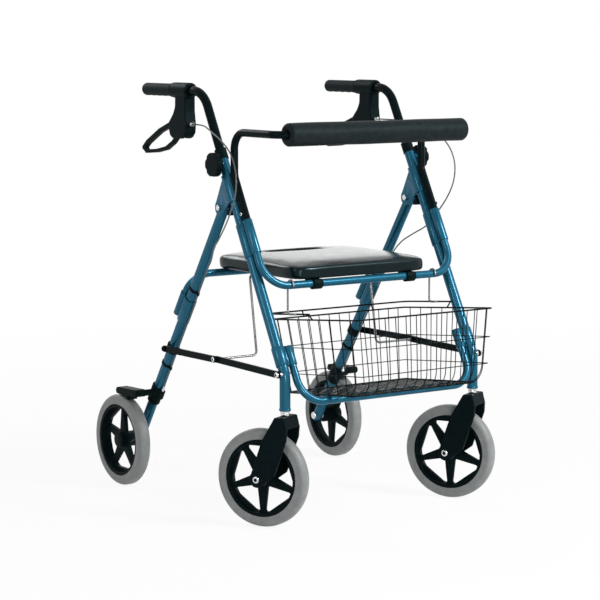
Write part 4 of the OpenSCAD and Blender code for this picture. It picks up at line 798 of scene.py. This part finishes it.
def corner_arc(x, y, first, z, bend):
    """Points round one corner of a bent wire that lies level on the basket's own axes."""
    middle_x, middle_y = x - math.copysign(bend, x), y - math.copysign(bend, y)
    turns = arc(first, 90, 8)
    return [in_basket(middle_x + bend * math.cos(a), middle_y + bend * math.sin(a), z) for a in turns]


def wire_loop(half_w, front, rear, z, bend):
    """One closed wire round the basket."""
    path = [in_basket(0, front, z)]
    for x, y, first in ((half_w, front, -90), (half_w, rear, 0), (-half_w, rear, 90), (-half_w, front, 180)):
        path += corner_arc(x, y, first, z, bend)
    return path + [path[0]]


def end_wires():
    """The rings, and the upright wires of the front and rear walls."""
    wires = [wire_loop(half_width(z), front_y(z), half_length(z), z, RING_BEND) for z in RING_LEVELS]
    for u in shares(GAPS_ACROSS):
        for wall in (front_y, half_length):
            wires.append([in_basket(u * (half_width(z) - END_GAP), wall(z), z) for z in down_levels()])
    return wires


def side_wires(sign):
    """The upright wires of one side wall, which keep behind the front wall's bend."""
    wires = []
    for u in shares(GAPS_ALONG):
        wire = []
        for z in down_levels():
            y = max(u * (half_length(z) - SIDE_GAP), front_y(z) + SIDE_GAP)
            wire.append(in_basket(sign * half_width(z), y, z))
        wires.append(wire)
    return wires


end_mesh = tube_mesh("end_wires", end_wires(), WIRE_SEEN, WIRE_SIDES)
stand_in("basket_ends", end_mesh, powder, "basket_end_wires")
side_mesh = tube_mesh("side_wires", side_wires(-1) + side_wires(1), WIRE_SEEN, WIRE_SIDES)
stand_in("basket_sides", side_mesh, powder, "basket_side_wires")

# Basket tray: an open moulded lattice in a low frame
TRAY_HALF_W = 154.0
TRAY_FRONT = -96.5
TRAY_REAR = 134.5
TRAY_EDGE_W = 4.0
TRAY_EDGE_H = 3.6
TRAY_ROUND = 0.5
LATTICE_PITCH = 40.0
STRIP_W = 5.5
STRIP_T = 1.8
STRIP_STEP = 0.2


def add_bar(bm, start, stop, width, low, high):
    """One straight flat bar over the tray's underside, on the basket's own axes."""
    start, stop = Vector(start), Vector(stop)
    along = (stop - start).normalized()
    across = Vector((-along.y, along.x)) * width / 2
    corners = (start - across, start + across, stop + across, stop - across)
    levels = (TRAY_Z + low, TRAY_Z + high)
    join_rings(bm, [[bm.verts.new(in_basket(c.x, c.y, z)) for c in corners] for z in levels], True)


def lattice_strips():
    """[start, stop, rise] of the strips that cross the tray both ways."""
    count = int((TRAY_HALF_W + TRAY_REAR - TRAY_FRONT) / LATTICE_PITCH) + 1
    strips = []
    for k in range(-count, count + 1):
        c = (TRAY_FRONT + TRAY_REAR) / 2 + k * LATTICE_PITCH
        low, high = max(-TRAY_HALF_W, TRAY_FRONT - c), min(TRAY_HALF_W, TRAY_REAR - c)
        if high - low > 2 * STRIP_W:
            strips.append(((low, low + c), (high, high + c), 0.0))
            strips.append(((-low, low + c), (-high, high + c), STRIP_STEP))
    return strips


def tray_mesh():
    bm = bmesh.new()
    for start, stop, rise in lattice_strips():
        add_bar(bm, start, stop, STRIP_W, rise, rise + STRIP_T)
    inside = TRAY_EDGE_W / 2
    for x in (-TRAY_HALF_W + inside, TRAY_HALF_W - inside):
        add_bar(bm, (x, TRAY_FRONT), (x, TRAY_REAR), TRAY_EDGE_W, 0, TRAY_EDGE_H)
    for y in (TRAY_FRONT + inside, TRAY_REAR - inside):
        add_bar(bm, (-TRAY_HALF_W, y), (TRAY_HALF_W, y), TRAY_EDGE_W, 0, TRAY_EDGE_H - STRIP_STEP)
    bmesh.ops.recalc_face_normals(bm, faces=bm.faces)
    round_edges(bm, bm.edges[:], TRAY_ROUND)
    return sharpen(written(bm, bpy.data.meshes.new("tray")), CREASE)


stand_in("basket_tray", tray_mesh(), plastic, "basket_tray_lattice")

# Basket rim, the rail over its rear half, and the hooks from the rail to the seat crossbar
RIM_SEEN = 3.4
RIM_SIDES = 14
RIM_BEND = 10.0
HOOK_X = 183.0
HOOK_WIRE = 4.0
HOOK_SIDES = 14
HOOK_BEND = 10.3
HOOK_TIP = 3.0
HOOK_TURN = 7.0
HOOK_REACH = 26.0
RAIL_UP = 12.0
RAIL_BEHIND = 6.0
RAIL_ARM = 158.0
RAIL_Y = BASKET_L / 2 + RAIL_BEHIND
RAIL_FRONT = RAIL_Y - RAIL_ARM
RAIL_BEND = 20.0
RAIL_WIRE = 3.5
RAIL_SIDES = 12
STRUT_X = 90.0
STRUT_IN = 4.0
STRUT_WIRE = 3.0


def rail_path():
    path = [in_basket(HOOK_X, RAIL_FRONT, RAIL_UP)]
    path += corner_arc(HOOK_X, RAIL_Y, 0, RAIL_UP, RAIL_BEND)
    path += corner_arc(-HOOK_X, RAIL_Y, 90, RAIL_UP, RAIL_BEND)
    return path + [in_basket(-HOOK_X, RAIL_FRONT, RAIL_UP)]


def strut_paths():
    """Short wires from the rim to the rail: one at each side and two at the rear."""
    y = RAIL_FRONT + STRUT_IN
    sides = [[in_basket(s * BASKET_W / 2, y, 0), in_basket(s * HOOK_X, y, RAIL_UP)] for s in SIGNS]
    rears = [[in_basket(x, BASKET_L / 2, 0), in_basket(x, RAIL_Y, RAIL_UP)] for x in (-STRUT_X, STRUT_X)]
    return sides + rears


def hook_path(sign):
    """Over the seat crossbar, down to the rail, and forward along it in a tight bend."""
    bar_y, bar_z = SEAT_BAR
    low_y = bar_y + HOOK_BEND
    rail_z = BASKET_Z - (low_y - BASKET_Y) * math.tan(BASKET_TILT) + RAIL_UP / math.cos(BASKET_TILT)
    run = HOOK_TURN + HOOK_REACH
    line = [(bar_y - HOOK_BEND, bar_z - HOOK_TIP)]
    line += [(bar_y + HOOK_BEND * math.cos(a), bar_z + HOOK_BEND * math.sin(a)) for a in arc(180, -180, 12)]
    for a in arc(0, 90, 6):
        line.append((low_y - HOOK_TURN * (1 - math.cos(a)), rail_z + HOOK_TURN * (1 - math.sin(a))))
    line.append((low_y - run, rail_z + run * math.tan(BASKET_TILT)))
    return [at(sign * HOOK_X, y, z) for y, z in line]


rim_path = wire_loop(BASKET_W / 2, -BASKET_L / 2, BASKET_L / 2, 0, RIM_BEND)
rim_mesh = tube_mesh("rim_wire", [rim_path], RIM_SEEN, RIM_SIDES)
stand_in("basket_rim", rim_mesh, powder, "basket_rim_wire")
rail_mesh = tube_mesh("rail", [rail_path()], RAIL_WIRE, RAIL_SIDES)
new_piece("basket_rail", rail_mesh, powder, "basket")
strut_mesh = tube_mesh("struts", strut_paths(), STRUT_WIRE, WIRE_SIDES)
new_piece("basket_struts", strut_mesh, powder, "basket")
hook_mesh = tube_mesh("hooks", [hook_path(-1), hook_path(1)], HOOK_WIRE, HOOK_SIDES)
new_piece("basket_hooks", hook_mesh, wire_steel, "basket")

# Small bright fasteners, and what finishes the tube ends
CASTER_TURN = math.radians(28)
CASTER_TRAIL = 49.0
CASTER_HEAD_X = 33.6
CASTER_HEAD_R = 6.6
WHEEL_R = 100.0
BRACE_KNEE = (226.5, 317.0)
BRACE_STUD = (0.0, 313.0)
BRACE_HEAD_R = 5.2
KNEE_HEAD_X = 266.8
STUD_HEAD_X = 263.6
BUTTON_UP = 341.0
BUTTON = on_leg(BUTTON_UP, BAR_AHEAD)
BUTTON_X = 252.5
BUTTON_R = 3.4
LEG_FOOT_Z = 239.0
LEG_R = 11.0
FERRULE_L = 14.0
FERRULE_GAP = 0.1
FERRULE_TO = CLIPPED_TO - FERRULE_GAP
BEAD_SIDES = 40
# Profiles of turned pieces as [height, radius]
ADJUSTER_PROFILE = [(0, 3.2), (0, 4.5)]
ADJUSTER_PROFILE += [(k, 4.7 if k % 2 else 4.3) for k in range(1, 8)]
ADJUSTER_PROFILE += [(8, 4.4), (9, 4.2)]
FERRULE_PROFILE = [(0, 1.8), (0.4, 2.6), (9, 2.6), (9.5, 3.4), (13.6, 3.4), (FERRULE_L, 3.0)]
BEAD_PROFILE = [(0.2, LEG_R - 0.6), (0.4, LEG_R + 0.5), (1.4, LEG_R + 1.0)]
BEAD_PROFILE += [(4.2, LEG_R + 1.0), (5.4, LEG_R + 0.5), (6.0, LEG_R - 0.6)]


def socket_head(r):
    """A domed screw head with a round recess."""
    return [(-0.4, r), (0.5, r), (1.1, r * 0.93), (1.5, r * 0.78), (1.6, r * 0.55), (0.2, r * 0.5)]


def recess_shade_disc(r):
    """A dark disc in the bottom of that recess, painted shade where the plated recess is only in shadow."""
    return [(-0.2, r * 0.52), (0.35, r * 0.52), (0.5, r * 0.3), (0.3, r * 0.08)]


def fasteners(name, body, spots, r):
    heads = turned_mesh("heads", [(base, axis, socket_head(r)) for base, axis in spots])
    # The black plastic discs in the recesses are painted shade, not parts of the screws.
    shade_discs = turned_mesh("shade_discs", [(base, axis, recess_shade_disc(r)) for base, axis in spots])
    new_piece(f"{name}_heads", heads, chrome, body)
    new_piece(f"{name}_sockets", shade_discs, plastic, body)


def caster_point(sign, across, trail, z):
    """A point of a turned caster: across its fork, and behind its stem."""
    c, s = math.cos(CASTER_TURN), math.sin(CASTER_TURN)
    return at(sign * HIP + across * c - trail * s, across * s + trail * c, z)


for side, sign in zip(SIDES, SIGNS):
    across = Vector((math.cos(CASTER_TURN), math.sin(CASTER_TURN), 0))
    ends = [(caster_point(sign, end * CASTER_HEAD_X, CASTER_TRAIL, WHEEL_R), end * across) for end in SIGNS]
    fasteners(f"caster_axle_{side}", f"caster_{side}", ends, CASTER_HEAD_R)
    outward = Vector((sign, 0, 0))
    knee = [(at(sign * KNEE_HEAD_X, *BRACE_KNEE), outward)]
    fasteners(f"brace_knee_{side}", f"brace_rear_{side}", knee, BRACE_HEAD_R)
    stud = [(at(sign * STUD_HEAD_X, *BRACE_STUD), outward)]
    fasteners(f"brace_stud_{side}", "front_frame", stud, BRACE_HEAD_R)
    button = [(at(sign * BUTTON_X, *BUTTON), outward)]
    fasteners(f"backrest_button_{side}", "backrest", button, BUTTON_R)
    barrel = turned_mesh("barrel", [(at(sign * HIP, *ADJUSTER), (0, 1, 0), ADJUSTER_PROFILE)])
    new_piece(f"cable_adjuster_{side}", barrel, chrome, f"handle_{side}")
    base = cable_point(sign, on_rear_leg(FERRULE_TO - FERRULE_L))
    tip = cable_point(sign, on_rear_leg(FERRULE_TO))
    barrel = turned_mesh("barrel", [(base, tip - base, FERRULE_PROFILE)])
    new_piece(f"cable_ferrule_{side}", barrel, chrome, "rear_frame")
    bead = turned_mesh("bead", [(at(sign * HIP, 0, LEG_FOOT_Z), (0, 0, 1), BEAD_PROFILE)], BEAD_SIDES)
    new_piece(f"leg_foot_bead_{side}", bead, paint, "front_frame")

# World: white where it is seen, and a low light elsewhere
WORLD_LIGHT = 0.21


def maths(tree, operation, first, second):
    made = add_node(tree, "ShaderNodeMath", {0: first, 1: second})
    made.operation = operation
    return made.outputs[0]


world = bpy.data.worlds.new("studio")
bpy.context.scene.world = world
world.use_nodes = True
tree = world.node_tree
rays = tree.nodes.new("ShaderNodeLightPath")
seen = maths(tree, "MAXIMUM", rays.outputs["Is Camera Ray"], rays.outputs["Is Glossy Ray"])
seen = maths(tree, "MAXIMUM", seen, rays.outputs["Is Transmission Ray"])
backdrop = tree.nodes["Background"]
backdrop.inputs["Color"].default_value = WHITE
tree.links.new(ranged(tree, seen, WORLD_LIGHT, 1.0), backdrop.inputs["Strength"])

# Lamps, in metres in the part's frame
WALKER_MIDDLE = (0.0, 0.0, 0.45)
SEAT_MIDDLE = (0.0, 0.0, 0.53)


def lamp(name, place, aim, size, watts):
    data = bpy.data.lights.new(name, "AREA")
    data.shape = "RECTANGLE"
    data.size, data.size_y = size
    data.energy = watts
    lit = new_object(name, data)
    point_at(lit, Vector(place), Vector(aim))
    lit.visible_camera = False


lamp("key", (1.3, -2.4, 2.1), WALKER_MIDDLE, size=(0.6, 0.9), watts=92)
lamp("front", (-1.2, -3.0, 0.7), WALKER_MIDDLE, size=(0.6, 0.5), watts=22)
lamp("fill", (-2.7, -0.6, 1.5), WALKER_MIDDLE, size=(0.6, 1.0), watts=12)
lamp("rim", (-0.6, 2.6, 2.2), WALKER_MIDDLE, size=(1.6, 0.7), watts=26)
lamp("seat_sheen", (1.75, 2.39, 0.83), SEAT_MIDDLE, size=(2.2, 1.0), watts=6)

# Floor: pale with soft shadows near the walker, and white further off
FLOOR = 30.0
FLOOR_GREY = (0.86, 0.86, 0.86, 1.0)
FLOOR_ROUGHNESS = 0.9
NEAR = 0.8
FAR = 3.0
NEAR_WHITE = 0.91
floor_mesh = bpy.data.meshes.new("floor")
floor_corners = [(-FLOOR, -FLOOR, 0), (FLOOR, -FLOOR, 0), (FLOOR, FLOOR, 0), (-FLOOR, FLOOR, 0)]
floor_mesh.from_pydata(floor_corners, [], [(0, 1, 2, 3)])
floor = new_object("floor", floor_mesh)
floor_material = bpy.data.materials.new("pale_floor")
floor_material.use_nodes = True
floor_mesh.materials.append(floor_material)
tree = floor_material.node_tree
surface = tree.nodes["Principled BSDF"]
surface.inputs["Base Color"].default_value = FLOOR_GREY
surface.inputs["Roughness"].default_value = FLOOR_ROUGHNESS
glow = add_node(tree, "ShaderNodeEmission", {"Color": WHITE, "Strength": 1.0})
rays = tree.nodes.new("ShaderNodeLightPath")
seen = maths(tree, "MAXIMUM", rays.outputs["Is Camera Ray"], rays.outputs["Is Glossy Ray"])
spot = tree.nodes.new("ShaderNodeTexCoord")
reach = add_node(tree, "ShaderNodeVectorMath", {0: spot.outputs["Object"]})
reach.operation = "LENGTH"
whiter = ranged(tree, reach.outputs["Value"], NEAR_WHITE, 1.0, NEAR, FAR)
share = maths(tree, "MULTIPLY", seen, whiter)
mix = {"Fac": share, 1: surface.outputs["BSDF"], 2: glow.outputs["Emission"]}
mixed = add_node(tree, "ShaderNodeMixShader", mix)
tree.links.new(mixed.outputs["Shader"], tree.nodes["Material Output"].inputs["Surface"])
